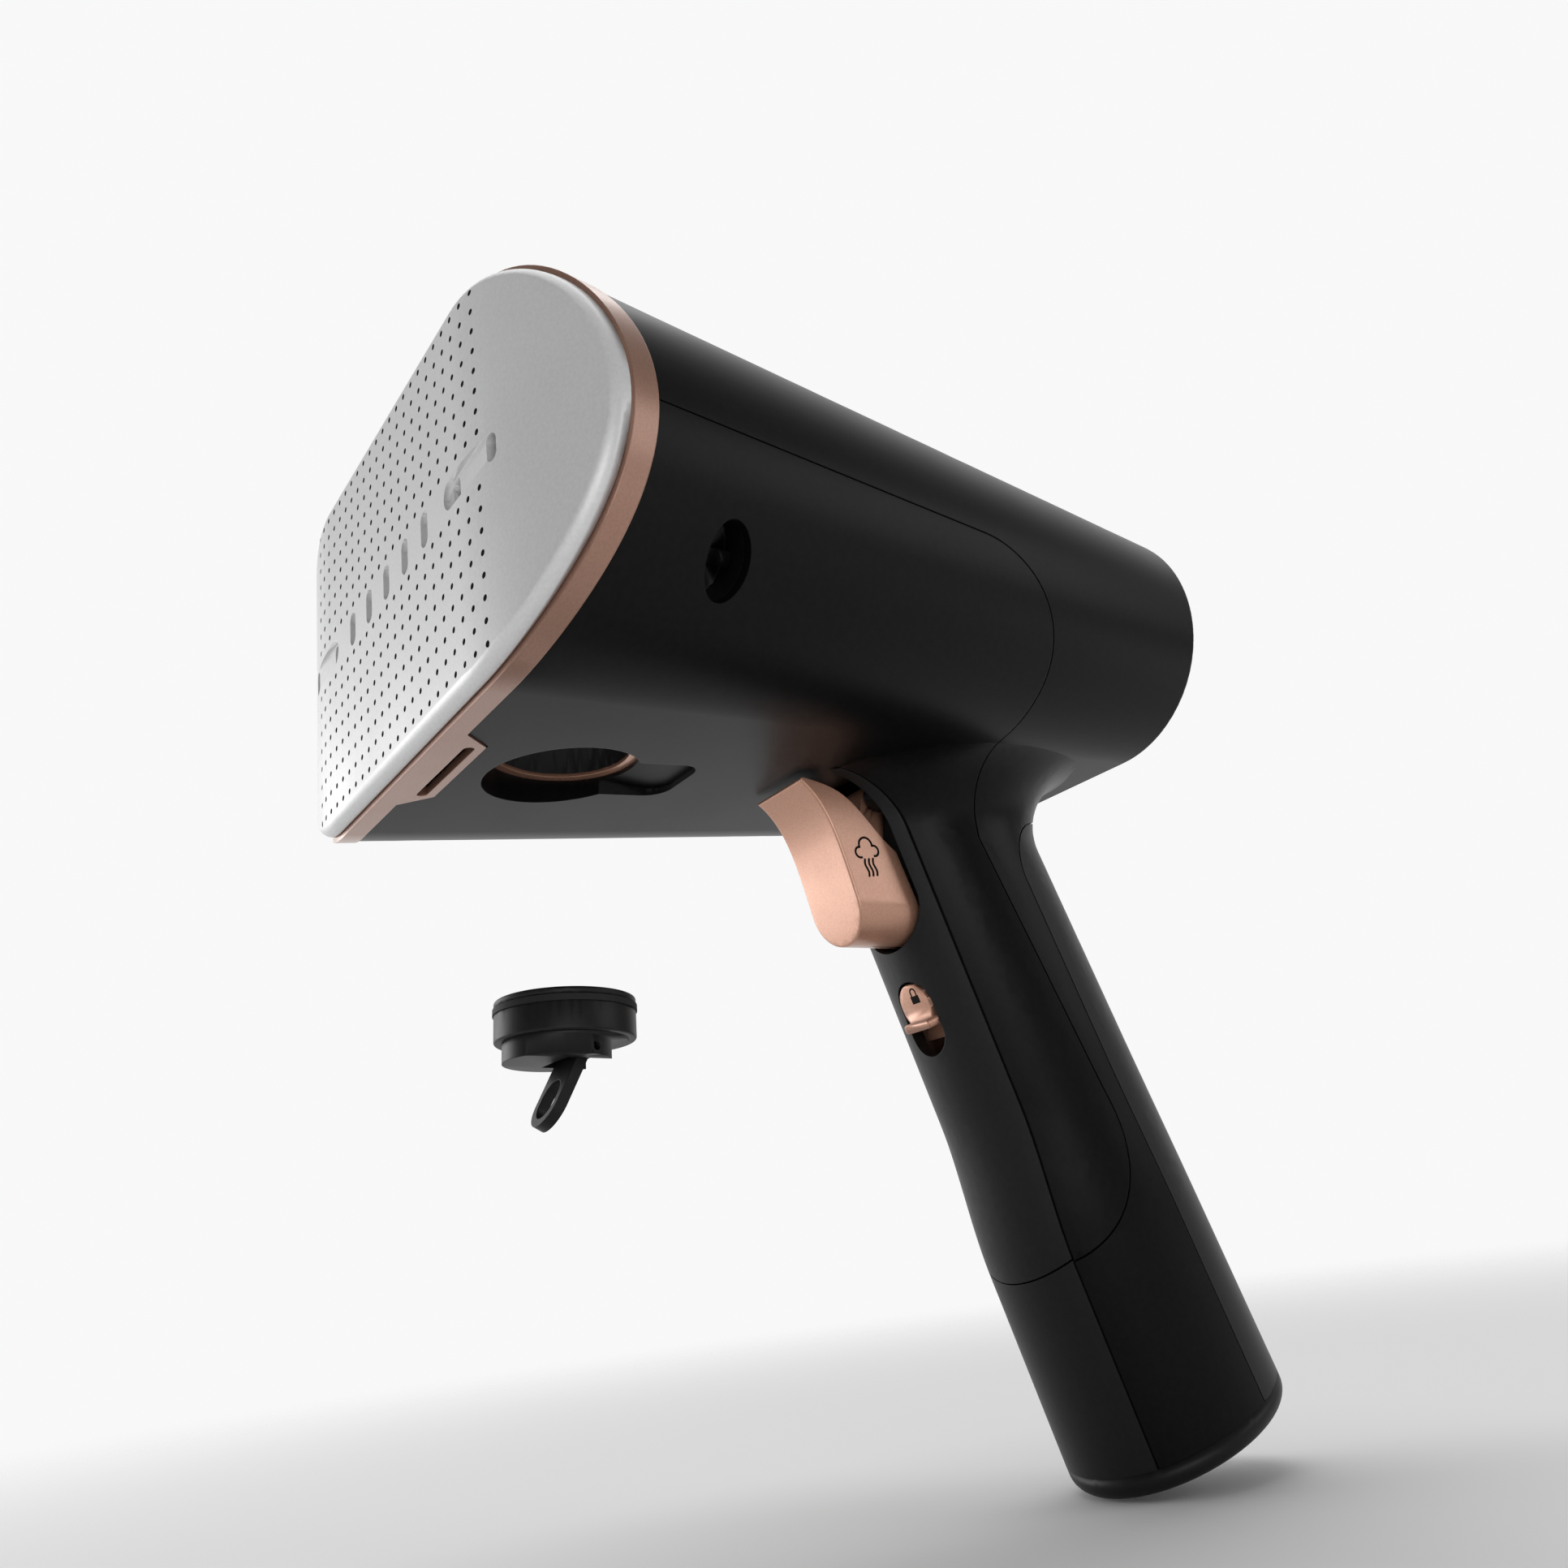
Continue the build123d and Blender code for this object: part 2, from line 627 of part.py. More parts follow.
# Hose gland: a stepped bush with a blind inlet and a nipple for the supply tube
mouth = HANDLE_END + FOOT_T + GLAND_LIP_T
with BuildPart() as hose_gland:
    with BuildSketch(HANDLE_SIDE):
        with BuildLine():
            Polyline((INLET_R, -mouth), (GLAND_LIP_R, -mouth), (GLAND_LIP_R, -mouth + GLAND_LIP_T),
                     (GLAND_R, -mouth + GLAND_LIP_T), (GLAND_R, -GLAND_TOP), (NIPPLE_R, -GLAND_TOP),
                     (NIPPLE_R, -GLAND_TOP + NIPPLE_L), (NIPPLE_BORE_R, -GLAND_TOP + NIPPLE_L),
                     (NIPPLE_BORE_R, -mouth + INLET_DEPTH), (INLET_R, -mouth + INLET_DEPTH), close=True)
        make_face()
    revolve(axis=Axis(HANDLE_ORIGIN, HANDLE_DOWN))
hose_gland.part.label = "hose_gland"
export_step(hose_gland.part, "parts/hose_gland.step")

# Supply tube: up the handle and forward to the chamber
corner_up = (TUBE_Z - HANDLE_Z) / TILT_COS
with BuildPart() as supply_tube:
    with BuildLine(Plane.YZ) as tube_path:
        FilletPolyline(on_handle(0, -GLAND_TOP + 0.5), on_handle(0, corner_up),
                       (CHAMBER_Y[1] + COVER_T + 0.5, TUBE_Z), radius=TUBE_BEND_R)
    with BuildSketch(Plane(origin=tube_path.line @ 0, z_dir=tube_path.line % 0)):
        Circle(TUBE_R)
        Circle(TUBE_BORE_R, mode=Mode.SUBTRACT)
    sweep()
supply_tube.part.label = "supply_tube"
export_step(supply_tube.part, "parts/supply_tube.step")

# Heating element: a tube bent to a hairpin, laid in a trench in the chamber's front
chamber_mid_z = (CHAMBER_Z[0] + CHAMBER_Z[1]) / 2
chamber_h = CHAMBER_Z[1] - CHAMBER_Z[0]
heater_gap = HEATER_Z[1] - HEATER_Z[0]
hairpin = Plane(origin=(0, HEATER_Y, 0), x_dir=(1, 0, 0), z_dir=(0, -1, 0))
with BuildPart() as heating_element:
    with BuildLine(hairpin):
        Line((HEATER_END_X, HEATER_Z[0]), (HEATER_BEND_X, HEATER_Z[0]))
        ThreePointArc((HEATER_BEND_X, HEATER_Z[0]), (HEATER_BEND_X + heater_gap / 2, chamber_mid_z),
                      (HEATER_BEND_X, HEATER_Z[1]))
        Line((HEATER_BEND_X, HEATER_Z[1]), (HEATER_END_X, HEATER_Z[1]))
    with BuildSketch(Plane(origin=(HEATER_END_X, HEATER_Y, HEATER_Z[0]), z_dir=(1, 0, 0))):
        Circle(HEATER_R)
    sweep()
heating_element.part.label = "heating_element"
export_step(heating_element.part, "parts/heating_element.step")

# Steam chamber: a cast block, open to the rear, with ribs that make the steam turn
cavity_y = CHAMBER_Y[0] + CHAMBER_FLOOR
with BuildPart() as steam_chamber:
    with BuildSketch(across(CHAMBER_Y[0])):
        with Locations((0, -chamber_mid_z)):
            RectangleRounded(2 * CHAMBER_HALF_W, chamber_h, CHAMBER_CORNER)
    extrude(amount=CHAMBER_Y[1] - CHAMBER_Y[0])
    with BuildSketch(across(cavity_y)):
        with Locations((0, -chamber_mid_z)):
            RectangleRounded(2 * (CHAMBER_HALF_W - CHAMBER_WALL), chamber_h - 2 * CHAMBER_WALL,
                             CHAMBER_CORNER + 1)
    extrude(amount=CHAMBER_Y[1] - cavity_y, mode=Mode.SUBTRACT)
    with BuildSketch(across(cavity_y)):
        for x, end in zip(CHAMBER_RIBS, (1, -1, 1)):
            with Locations((x, -chamber_mid_z + end * (chamber_h / 2 - CHAMBER_WALL - RIB_H / 2))):
                Rectangle(RIB_T, RIB_H)
    extrude(amount=RIB_REACH)
    with BuildSketch(across(CHAMBER_Y[0])):
        with Locations(*[(x, -chamber_mid_z) for x in STEAM_PASSAGES]):
            Circle(PASSAGE_R)
    extrude(amount=CHAMBER_FLOOR, mode=Mode.SUBTRACT)
    with BuildSketch(Plane.XY.offset(CHAMBER_Z[0])):
        with Locations((0, PORT_Y + UNDERSIDE_SLOPE * (CHAMBER_Z[0] + head_half_h(PORT_Y)))):
            Circle(SOCKET_DRAIN_R)
    extrude(amount=CHAMBER_WALL, mode=Mode.SUBTRACT)
    with BuildSketch(across(CHAMBER_Y[1])):
        with Locations((0, -chamber_mid_z)):
            with GridLocations(2 * SCREW_X, 2 * SCREW_Z, 2, 2):
                Circle(SCREW_R)
    extrude(amount=-SCREW_L + COVER_T, mode=Mode.SUBTRACT)
    with BuildSketch(across(CHAMBER_Y[0])):
        with BuildLine():
            Line((HEATER_END_X, -HEATER_Z[1]), (HEATER_BEND_X, -HEATER_Z[1]))
            ThreePointArc((HEATER_BEND_X, -HEATER_Z[1]), (HEATER_BEND_X + heater_gap / 2, -chamber_mid_z),
                          (HEATER_BEND_X, -HEATER_Z[0]))
            Line((HEATER_BEND_X, -HEATER_Z[0]), (HEATER_END_X, -HEATER_Z[0]))
        trace(line_width=2 * (HEATER_R + HEATER_CLEARANCE))
    extrude(amount=HEATER_Y + HEATER_R + HEATER_CLEARANCE - CHAMBER_Y[0], mode=Mode.SUBTRACT)
steam_chamber.part.label = "steam_chamber"
export_step(steam_chamber.part, "parts/steam_chamber.step")

# Chamber cover with the water inlet pipe
cover_rear = CHAMBER_Y[1] + COVER_T
with BuildPart() as chamber_cover:
    with BuildSketch(across(CHAMBER_Y[1])):
        with Locations((0, -chamber_mid_z)):
            RectangleRounded(2 * CHAMBER_HALF_W, chamber_h, CHAMBER_CORNER)
            with GridLocations(2 * SCREW_X, 2 * SCREW_Z, 2, 2):
                Circle(SCREW_R, mode=Mode.SUBTRACT)
    extrude(amount=COVER_T)
    with BuildSketch(across(cover_rear)):
        with Locations((0, -TUBE_Z)):
            Circle(COVER_PIPE_R)
    extrude(amount=COVER_PIPE_L)
    with BuildSketch(across(CHAMBER_Y[1])):
        with Locations((0, -TUBE_Z)):
            Circle(NIPPLE_BORE_R)
    extrude(amount=COVER_T + COVER_PIPE_L, mode=Mode.SUBTRACT)
chamber_cover.part.label = "chamber_cover"
export_step(chamber_cover.part, "parts/chamber_cover.step")

with BuildPart() as chamber_screws:
    with BuildSketch(across(cover_rear - SCREW_L)):
        with Locations((0, -chamber_mid_z)):
            with GridLocations(2 * SCREW_X, 2 * SCREW_Z, 2, 2):
                Circle(SCREW_R)
    extrude(amount=SCREW_L)
    with BuildSketch(across(cover_rear)):
        with Locations((0, -chamber_mid_z)):
            with GridLocations(2 * SCREW_X, 2 * SCREW_Z, 2, 2):
                Circle(SCREW_HEAD_R)
    extrude(amount=SCREW_HEAD_T)
chamber_screws.part.label = "chamber_screws"
export_step(chamber_screws.part, "parts/chamber_screws.step")

with BuildPart() as thermostat:
    with BuildSketch(across(cover_rear)):
        with Locations((THERMOSTAT_X, -chamber_mid_z)):
            Circle(THERMOSTAT_R)
    extrude(amount=THERMOSTAT_T)
    with BuildSketch(across(cover_rear + THERMOSTAT_T)):
        with Locations((THERMOSTAT_X, -chamber_mid_z)):
            with GridLocations(THERMOSTAT_R, 0, 2, 1):
                Rectangle(BLADE[0], BLADE[1])
    extrude(amount=BLADE[2])
thermostat.part.label = "thermostat"
export_step(thermostat.part, "parts/thermostat.step")

with BuildPart() as thermal_fuse:
    with BuildSketch(Plane.YZ.offset(FUSE_X - FUSE_L / 2)):
        with Locations((cover_rear + FUSE_R, chamber_mid_z)):
            Circle(FUSE_R)
    extrude(amount=FUSE_L)
    with BuildSketch(Plane.YZ.offset(FUSE_X - FUSE_L)):
        with Locations((cover_rear + FUSE_R, chamber_mid_z)):
            Circle(FUSE_R / 4)
    extrude(amount=2 * FUSE_L)
thermal_fuse.part.label = "thermal_fuse"
export_step(thermal_fuse.part, "parts/thermal_fuse.step")

# Scale socket over the port, and the ring at its mouth
with BuildPart() as calc_socket:
    with BuildSketch(PORT.offset(PORT_DEPTH + PORT_RING_T)):
        Circle(SOCKET_OUTER_R)
    extrude(amount=2 * SOCKET_ROOF)
    with BuildSketch(PORT.offset(PORT_DEPTH + PORT_RING_T)):
        Circle(SOCKET_R)
    extrude(amount=SOCKET_ROOF - PORT_DEPTH - PORT_RING_T, mode=Mode.SUBTRACT)
    with BuildSketch(PORT.offset(SOCKET_ROOF)):
        Circle(SOCKET_DRAIN_R)
    extrude(amount=2 * SOCKET_ROOF, mode=Mode.SUBTRACT)
    split(bisect_by=Plane.XY.offset(CHAMBER_Z[0]), keep=Keep.BOTTOM)
calc_socket.part.label = "calc_socket"
export_step(calc_socket.part, "parts/calc_socket.step")

with BuildPart() as port_ring:
    with BuildSketch(PORT.offset(PORT_DEPTH)):
        Circle(PORT_COLLAR_R)
        Circle(SOCKET_R, mode=Mode.SUBTRACT)
    extrude(amount=PORT_RING_T)
port_ring.part.label = "port_ring"
export_step(port_ring.part, "parts/port_ring.step")

# Scale cup, drawn out along the port's axis: an open cup with a hinge boss under its floor
CUP_RIM = PORT.offset(-CUP_OUT)
pin = CUP_RIM.from_local_coords((0, TAB_PIN_Y, -TAB_PIN_DROP))
PIN_SIDE = Plane(origin=pin, x_dir=(0, 1, 0), z_dir=(1, 0, 0))
with BuildPart() as cap_cup:
    with BuildSketch(CUP_RIM):
        Circle(CUP_R)
    extrude(amount=-CUP_H)
    with BuildSketch(CUP_RIM):
        Circle(CUP_R - CUP_WALL)
    extrude(amount=CUP_FLOOR - CUP_H, mode=Mode.SUBTRACT)
    with BuildSketch(CUP_RIM.offset(-CUP_H)):
        with Locations((0, CUP_BOSS_SHIFT)):
            Circle(CUP_BOSS_R)
        with Locations((0, TAB_PIN_Y - 2 * PULL_T + CUP_BOSS_R)):
            Rectangle(2 * PULL_GROOVE, 2 * CUP_BOSS_R, mode=Mode.SUBTRACT)
    extrude(amount=-CUP_BOSS_H)
    with BuildSketch(PIN_SIDE):
        Circle(TAB_PIN_R)
    extrude(amount=CUP_BOSS_R, both=True, mode=Mode.SUBTRACT)
cap_cup.part.label = "cap_cup"
export_step(cap_cup.part, "parts/cap_cup.step")

# Collar round the cup, with a groove for the seal
with BuildPart() as cap_seal:
    with BuildSketch(CUP_RIM.offset(-SEAL_DROP)):
        Circle(SEAL_OUTER_R)
        Circle(SEAL_INNER_R, mode=Mode.SUBTRACT)
    extrude(amount=SEAL_T)
cap_seal.part.label = "cap_seal"
export_step(cap_seal.part, "parts/cap_seal.step")

with BuildPart() as cap_collar:
    with BuildSketch(CUP_RIM):
        Circle(COLLAR_R)
        Circle(CUP_R + 0.05, mode=Mode.SUBTRACT)
    extrude(amount=-COLLAR_H)
    outer_edges = cap_collar.edges().filter_by(GeomType.CIRCLE).group_by(SortBy.RADIUS)[-1]
    fillet(outer_edges, COLLAR_EDGE)
    add(cap_seal.part, mode=Mode.SUBTRACT)
cap_collar.part.label = "cap_collar"
export_step(cap_collar.part, "parts/cap_collar.step")

# Pull tab on its pin, leaning forward
with BuildPart() as tab_pin:
    with BuildSketch(PIN_SIDE):
        Circle(TAB_PIN_R)
    extrude(amount=TAB_PIN_HALF_L, both=True)
tab_pin.part.label = "tab_pin"
export_step(tab_pin.part, "parts/tab_pin.step")

lean = radians(TAB_LEAN) + atan(UNDERSIDE_SLOPE)
pull_plane = Plane(origin=pin, x_dir=(1, 0, 0), z_dir=(0, cos(lean), -sin(lean)))
with BuildPart() as pull_tab:
    with BuildSketch(pull_plane):
        with Locations((0, (PULL_L - PULL_HALF_W) / 2)):
            Rectangle(2 * PULL_HALF_W, PULL_L - PULL_HALF_W)
        with Locations((0, PULL_L - PULL_HALF_W)):
            Circle(PULL_HALF_W)
    extrude(amount=PULL_T / 2, both=True)
    with BuildSketch(PIN_SIDE):
        Circle(PULL_KNUCKLE_R)
    extrude(amount=PULL_HALF_W, both=True)
    with BuildSketch(pull_plane):
        with Locations((0, PULL_L - PULL_RING_T - PULL_HOLE[0] / 2)):
            SlotOverall(*PULL_HOLE, rotation=90)
    extrude(amount=PULL_T, both=True, mode=Mode.SUBTRACT)
    with BuildSketch(PIN_SIDE):
        Circle(TAB_PIN_R + PIVOT_CLEARANCE)
    extrude(amount=PULL_HALF_W, both=True, mode=Mode.SUBTRACT)
pull_tab.part.label = "pull_tab"
export_step(pull_tab.part, "parts/pull_tab.step")

# Accessory sockets: blind oval cups behind the side openings
for side, name in ((1, "side_socket_left"), (-1, "side_socket_right")):
    with BuildPart() as side_socket:
        with BuildSketch(side_plane(side)):
            Ellipse(SIDE_OVAL[0] + SIDE_CUP_WALL, SIDE_OVAL[1] + SIDE_CUP_WALL)
        extrude(amount=-SIDE_CUP_DEPTH)
        with BuildSketch(side_plane(side)):
            Ellipse(*SIDE_OVAL)
        extrude(amount=SIDE_CUP_WALL - SIDE_CUP_DEPTH, mode=Mode.SUBTRACT)
        with BuildSketch(side_plane(side).offset(SIDE_CUP_WALL - SIDE_CUP_DEPTH)):
            with Locations((SIDE_OVAL[0] - SIDE_RIB[0], 0)):
                Rectangle(SIDE_RIB[0], SIDE_RIB[1])
        extrude(amount=SIDE_RIB[2])
        add(head_block(-WALL), mode=Mode.INTERSECT)
    side_socket.part.label = name
    export_step(side_socket.part, f"parts/{name}.step")

# Trigger: a hooked tongue with a round end, and a lug on the pivot pin
front_view = Plane(origin=(0, HANDLE_Y, 0), x_dir=(1, 0, 0), z_dir=(0, -1, 0))
with BuildPart() as trigger:
    with BuildSketch(HANDLE_SIDE):
        with BuildLine():
            Spline(TRIGGER_TIP, *TRIGGER_NOSE)
            Polyline(TRIGGER_NOSE[-1], *TRIGGER_BACK, TRIGGER_CHEEK[0])
            Spline(*TRIGGER_CHEEK, TRIGGER_TIP)
        make_face()
    extrude(amount=TRIGGER_HALF_W, both=True)
    with BuildSketch(front_view):
        with Locations((0, TRIGGER_FOOT_Z + REACH / 4)):
            RectangleRounded(2 * TRIGGER_HALF_W, REACH / 2, TRIGGER_END_R)
    extrude(amount=REACH / 2, mode=Mode.INTERSECT)
    front_edges = trigger.faces().sort_by(lambda f: f.center().Y)[0].edges()
    fillet(front_edges, TRIGGER_EDGE_R)
    with BuildSketch(HANDLE_SIDE):
        with Locations(PIVOT):
            Circle(LUG_R)
        with Locations(LUG_ROOT):
            Circle(LUG_R)
        make_hull()
    extrude(amount=LUG_HALF_W, both=True)
    with BuildSketch(HANDLE_SIDE):
        with Locations(PIVOT):
            Circle(PIVOT_PIN_R + PIVOT_CLEARANCE)
    extrude(amount=LUG_HALF_W, both=True, mode=Mode.SUBTRACT)
trigger.part.label = "trigger"
export_step(trigger.part, "parts/trigger.step")

with BuildPart() as trigger_pin:
    with BuildSketch(HANDLE_SIDE):
        with Locations(PIVOT):
            Circle(PIVOT_PIN_R)
    extrude(amount=EAR_OUTER, both=True)
trigger_pin.part.label = "trigger_pin"
export_step(trigger_pin.part, "parts/trigger_pin.step")

# Bracket across the handle that carries the pivot pin and the switch
bracket_face = BRACKET_FRONT + BRACKET_T
with BuildPart() as trigger_bracket:
    with BuildSketch(HANDLE_FACE.offset(BRACKET_FRONT)):
        with Locations((0, (BRACKET_TOP + BRACKET_FOOT) / 2)):
            RectangleRounded(2 * BRACKET_HALF_W, BRACKET_TOP - BRACKET_FOOT, 2.0)
    extrude(amount=BRACKET_T)
    with BuildSketch(HANDLE_SIDE):
        with Locations(PIVOT):
            Circle(LUG_R)
        with Locations((bracket_face - LUG_R / 2, PIVOT[1])):
            Rectangle(LUG_R, 2 * LUG_R)
        make_hull()
        with Locations(PIVOT):
            Circle(PIVOT_PIN_R, mode=Mode.SUBTRACT)
    extrude(amount=EAR_OUTER, both=True)
    with BuildSketch(HANDLE_FACE.offset(bracket_face)):
        with Locations((0, PIVOT[1])):
            Rectangle(2 * EAR_INNER, 4 * LUG_R)
    extrude(amount=REACH / 8, mode=Mode.SUBTRACT)
trigger_bracket.part.label = "trigger_bracket"
export_step(trigger_bracket.part, "parts/trigger_bracket.step")

with BuildPart() as microswitch:
    with BuildSketch(HANDLE_FACE.offset(bracket_face)):
        with Locations((0, SWITCH_UP)):
            Rectangle(SWITCH_SIZE[0], SWITCH_SIZE[2])
    extrude(amount=SWITCH_SIZE[1])
    with BuildSketch(HANDLE_FACE.offset(bracket_face)):
        with Locations((0, SWITCH_UP + SWITCH_SIZE[2] / 4)):
            Circle(PLUNGER_R)
    extrude(amount=PLUNGER_TIP - bracket_face)
microswitch.part.label = "microswitch"
export_step(microswitch.part, "parts/microswitch.step")

with BuildPart() as trigger_spring:
    with BuildSketch(HANDLE_SIDE):
        with BuildLine():
            Polyline(*LEAF)
        trace(line_width=LEAF_T)
    extrude(amount=LEAF_W / 2, both=True)
trigger_spring.part.label = "trigger_spring"
export_step(trigger_spring.part, "parts/trigger_spring.step")

# Lock slider and the bed it runs in
pad_up = SLOT_UP + SLOT_L / 2 - SLIDER_PAD[0] / 2 - 0.5
with BuildPart() as lock_slider:
    with BuildSketch(HANDLE_FACE.offset(SLIDER_PLATE_FRONT[0])):
        with Locations((0, SLOT_UP + SLIDER_TRAVEL / 2)):
            Rectangle(*SLIDER_PLATE)
    extrude(amount=SLIDER_PLATE_FRONT[1] - SLIDER_PLATE_FRONT[0])
    with BuildSketch(HANDLE_FACE.offset(SLIDER_PLATE_FRONT[0])):
        with Locations((0, pad_up)):
            SlotOverall(*SLIDER_PAD, rotation=90)
    extrude(amount=SLIDER_PAD_FRONT - SLIDER_PLATE_FRONT[0])
    with BuildSketch(HANDLE_FACE.offset(SLIDER_PLATE_FRONT[0])):
        with Locations((0, pad_up - SLIDER_PAD[0] / 2 + SLIDER_RIB[1] / 2)):
            RectangleRounded(*SLIDER_RIB, SLIDER_RIB_CORNER)
    extrude(amount=SLIDER_RIB_FRONT - SLIDER_PLATE_FRONT[0])
lock_slider.part.label = "lock_slider"
export_step(lock_slider.part, "parts/lock_slider.step")

with BuildPart() as slider_bed:
    with BuildSketch(HANDLE_FACE.offset(BED_FRONT[0])):
        with Locations((0, (BED_ENDS[0] + BED_ENDS[1]) / 2)):
            Rectangle(2 * BED_HALF_W, BED_ENDS[1] - BED_ENDS[0])
    extrude(amount=BED_FRONT[2] - BED_FRONT[0])
    with BuildSketch(HANDLE_FACE.offset(BED_FRONT[1])):
        with Locations((0, SLOT_UP)):
            Rectangle(SLIDER_PLATE[0] + 2 * BED_CLEARANCE, BED_CHANNEL_L)
    extrude(amount=BED_FRONT[2] - BED_FRONT[1], mode=Mode.SUBTRACT)
    with BuildSketch(HANDLE_FACE.offset(BED_FRONT[2])):
        with Locations(*[(0, up - BED_POST / 2 * side) for up, side in zip(BED_ENDS, (-1, 1))]):
            Rectangle(2 * BED_POST, BED_POST)
    extrude(amount=BED_POST_FRONT - BED_FRONT[2])
slider_bed.part.label = "slider_bed"
export_step(slider_bed.part, "parts/slider_bed.step")
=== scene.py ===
"""Looks for the handheld garment steamer: finishes, steam holes, icons, studio and camera.

Everything is in metres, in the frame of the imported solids: the origin is the centre of the
soleplate's face, +Y runs to the rear of the head and +Z up.
"""
import json
import math

import bmesh
import bpy
from mathutils import Matrix, Vector


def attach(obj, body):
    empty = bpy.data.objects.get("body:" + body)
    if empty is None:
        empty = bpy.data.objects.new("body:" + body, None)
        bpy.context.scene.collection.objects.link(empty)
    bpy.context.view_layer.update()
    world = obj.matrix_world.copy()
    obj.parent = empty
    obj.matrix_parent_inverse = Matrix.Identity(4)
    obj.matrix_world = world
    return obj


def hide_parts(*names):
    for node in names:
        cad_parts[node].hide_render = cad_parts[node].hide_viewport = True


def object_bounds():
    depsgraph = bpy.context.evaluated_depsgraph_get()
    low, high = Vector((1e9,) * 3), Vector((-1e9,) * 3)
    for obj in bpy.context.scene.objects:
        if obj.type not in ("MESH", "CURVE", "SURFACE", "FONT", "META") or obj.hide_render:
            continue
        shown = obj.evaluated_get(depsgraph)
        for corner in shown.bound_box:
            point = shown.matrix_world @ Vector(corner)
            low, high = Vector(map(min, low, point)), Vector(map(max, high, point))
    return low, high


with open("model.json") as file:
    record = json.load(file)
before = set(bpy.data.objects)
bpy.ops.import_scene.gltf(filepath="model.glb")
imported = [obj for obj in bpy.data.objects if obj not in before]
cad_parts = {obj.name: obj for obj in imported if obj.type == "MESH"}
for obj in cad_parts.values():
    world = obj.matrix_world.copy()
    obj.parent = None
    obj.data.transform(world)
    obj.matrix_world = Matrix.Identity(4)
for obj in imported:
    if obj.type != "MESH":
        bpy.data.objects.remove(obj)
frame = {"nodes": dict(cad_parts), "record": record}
cad_low, cad_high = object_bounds()

MM = 0.001

# The photograph's camera, found from the grid of steam holes
CAMERA_PLACE = Vector((196.57, -67.20, -114.13)) * MM
CAMERA_RIGHT = Vector((0.55314, 0.82432, -0.12054))
CAMERA_UP = Vector((0.33922, -0.09070, 0.93632))
CAMERA_BACK = Vector((0.76090, -0.55880, -0.32980))
CAMERA_LENS = 30.59
CAMERA_SENSOR = 36.0
CAMERA_NEAR = 5.0 * MM
CAMERA_FAR = 50.0

# Head: a stadium that tapers to the rear
HEAD_LENGTH = 152.0 * MM
FRONT_HALF_W = 66.8 * MM
FRONT_HALF_H = 33.8 * MM
REAR_HALF_W = 46.9 * MM
REAR_HALF_H = 25.1 * MM

# Plate: flat in the middle, with bent ends
PLATE_FLAT_HALF = 31.7 * MM
PLATE_BEND_R = 65.0 * MM

# Steam holes in the plate
HOLE_PITCH = 3.6 * MM
HOLE_COLUMNS = 23
HOLE_ROWS = 8
HOLE_FIRST_ROW = 4.73 * MM
HOLE_R = 0.52 * MM
HOLE_SIDES = 16
HOLE_DEPTH = 6.0 * MM

# Scale port: a round wall under the head
PORT_MIDDLE = Vector((0.0, 30.09, -30.57)) * MM
PORT_AXIS = Vector((0.0, 0.0571, 0.9984))
PORT_R = 13.7 * MM

# Trigger: flat cheeks over a round lower end
CHEEK_X = 7.5 * MM
TRIGGER_ROUND_Z = -53.5 * MM

# Shading: which edges stay sharp, and how near a corner lies to the surface that gives its normal
MERGE_DISTANCE = 0.001 * MM
SHARP_ANGLE = math.radians(32.0)
ON_SURFACE = 0.05 * MM
ON_BEND = 0.08 * MM
ON_HEAD = 1.6 * MM

# Shading: how closely a face follows that surface, as the cosine between them
FACES_FRONT = 0.5
FOLLOWS_HEAD = 0.985
FOLLOWS_PORT = 0.9
FACES_SIDE = 0.1

# Printed icons, with their strokes in millimetres
PRINT_WIDTH = 0.44 * MM
LOCK_PRINT_WIDTH = 0.3 * MM
PRINT_HEIGHT = 0.04 * MM
PRINT_SINK = 0.02 * MM
STEAM_ICON_PLACE = Vector((CHEEK_X, 89.2 * MM, -45.0 * MM))
STEAM_ICON_LEAN = math.radians(8.0)
CLOUD_TOP_R = 1.55
CLOUD_SIDE_R = 1.05
WISP_POINTS = 13
WISP_STEP = 0.3
WISP_FOOT = -4.2
WISP_SWAY = 0.22
WISP_TURN = 0.55
LOCK_ICON_PLACE = Vector((0.7, 101.10, -70.79)) * MM
HANDLE_LEAN = math.radians(18.9)
SHACKLE_R = 0.7
SHACKLE_FOOT = 0.1
SHACKLE_TOP = 0.9
CASE_HALF_W = 1.1
CASE_LINES = (-1.2, -0.9, -0.6, -0.3, 0.0)

# Studio, with brightness where 1 is white
FOOT_PLACE = (0.0, 0.15)
FLOOR_GAP = 0.5 * MM
FLOOR_SHADE = 0.88
FLOOR_R = 0.8
FLOOR_SIDES = 96
FADE_START = 0.2
FADE_END = 0.75
DIM_SIDE = 0.2
BRIGHT_SIDE = 0.94

# Materials: the usual span of a noise, and the part of it that a tint crosses
NOISE_LOW, NOISE_HIGH = 0.3, 0.7
TINT_LOW, TINT_HIGH = 0.35, 0.65
PLASTIC_EDGE = 0.25 * MM
METAL_EDGE = 0.3 * MM


# Materials

def new_material(name, colour, roughness, metallic=0.0):
    """A Principled material; returns the material, its nodes, links and shader."""
    material = bpy.data.materials.new(name)
    material.use_nodes = True
    nodes, links = material.node_tree.nodes, material.node_tree.links
    shader = nodes["Principled BSDF"]
    shader.inputs["Base Color"].default_value = (*colour, 1.0)
    shader.inputs["Roughness"].default_value = roughness
    shader.inputs["Metallic"].default_value = metallic
    return material, nodes, links, shader


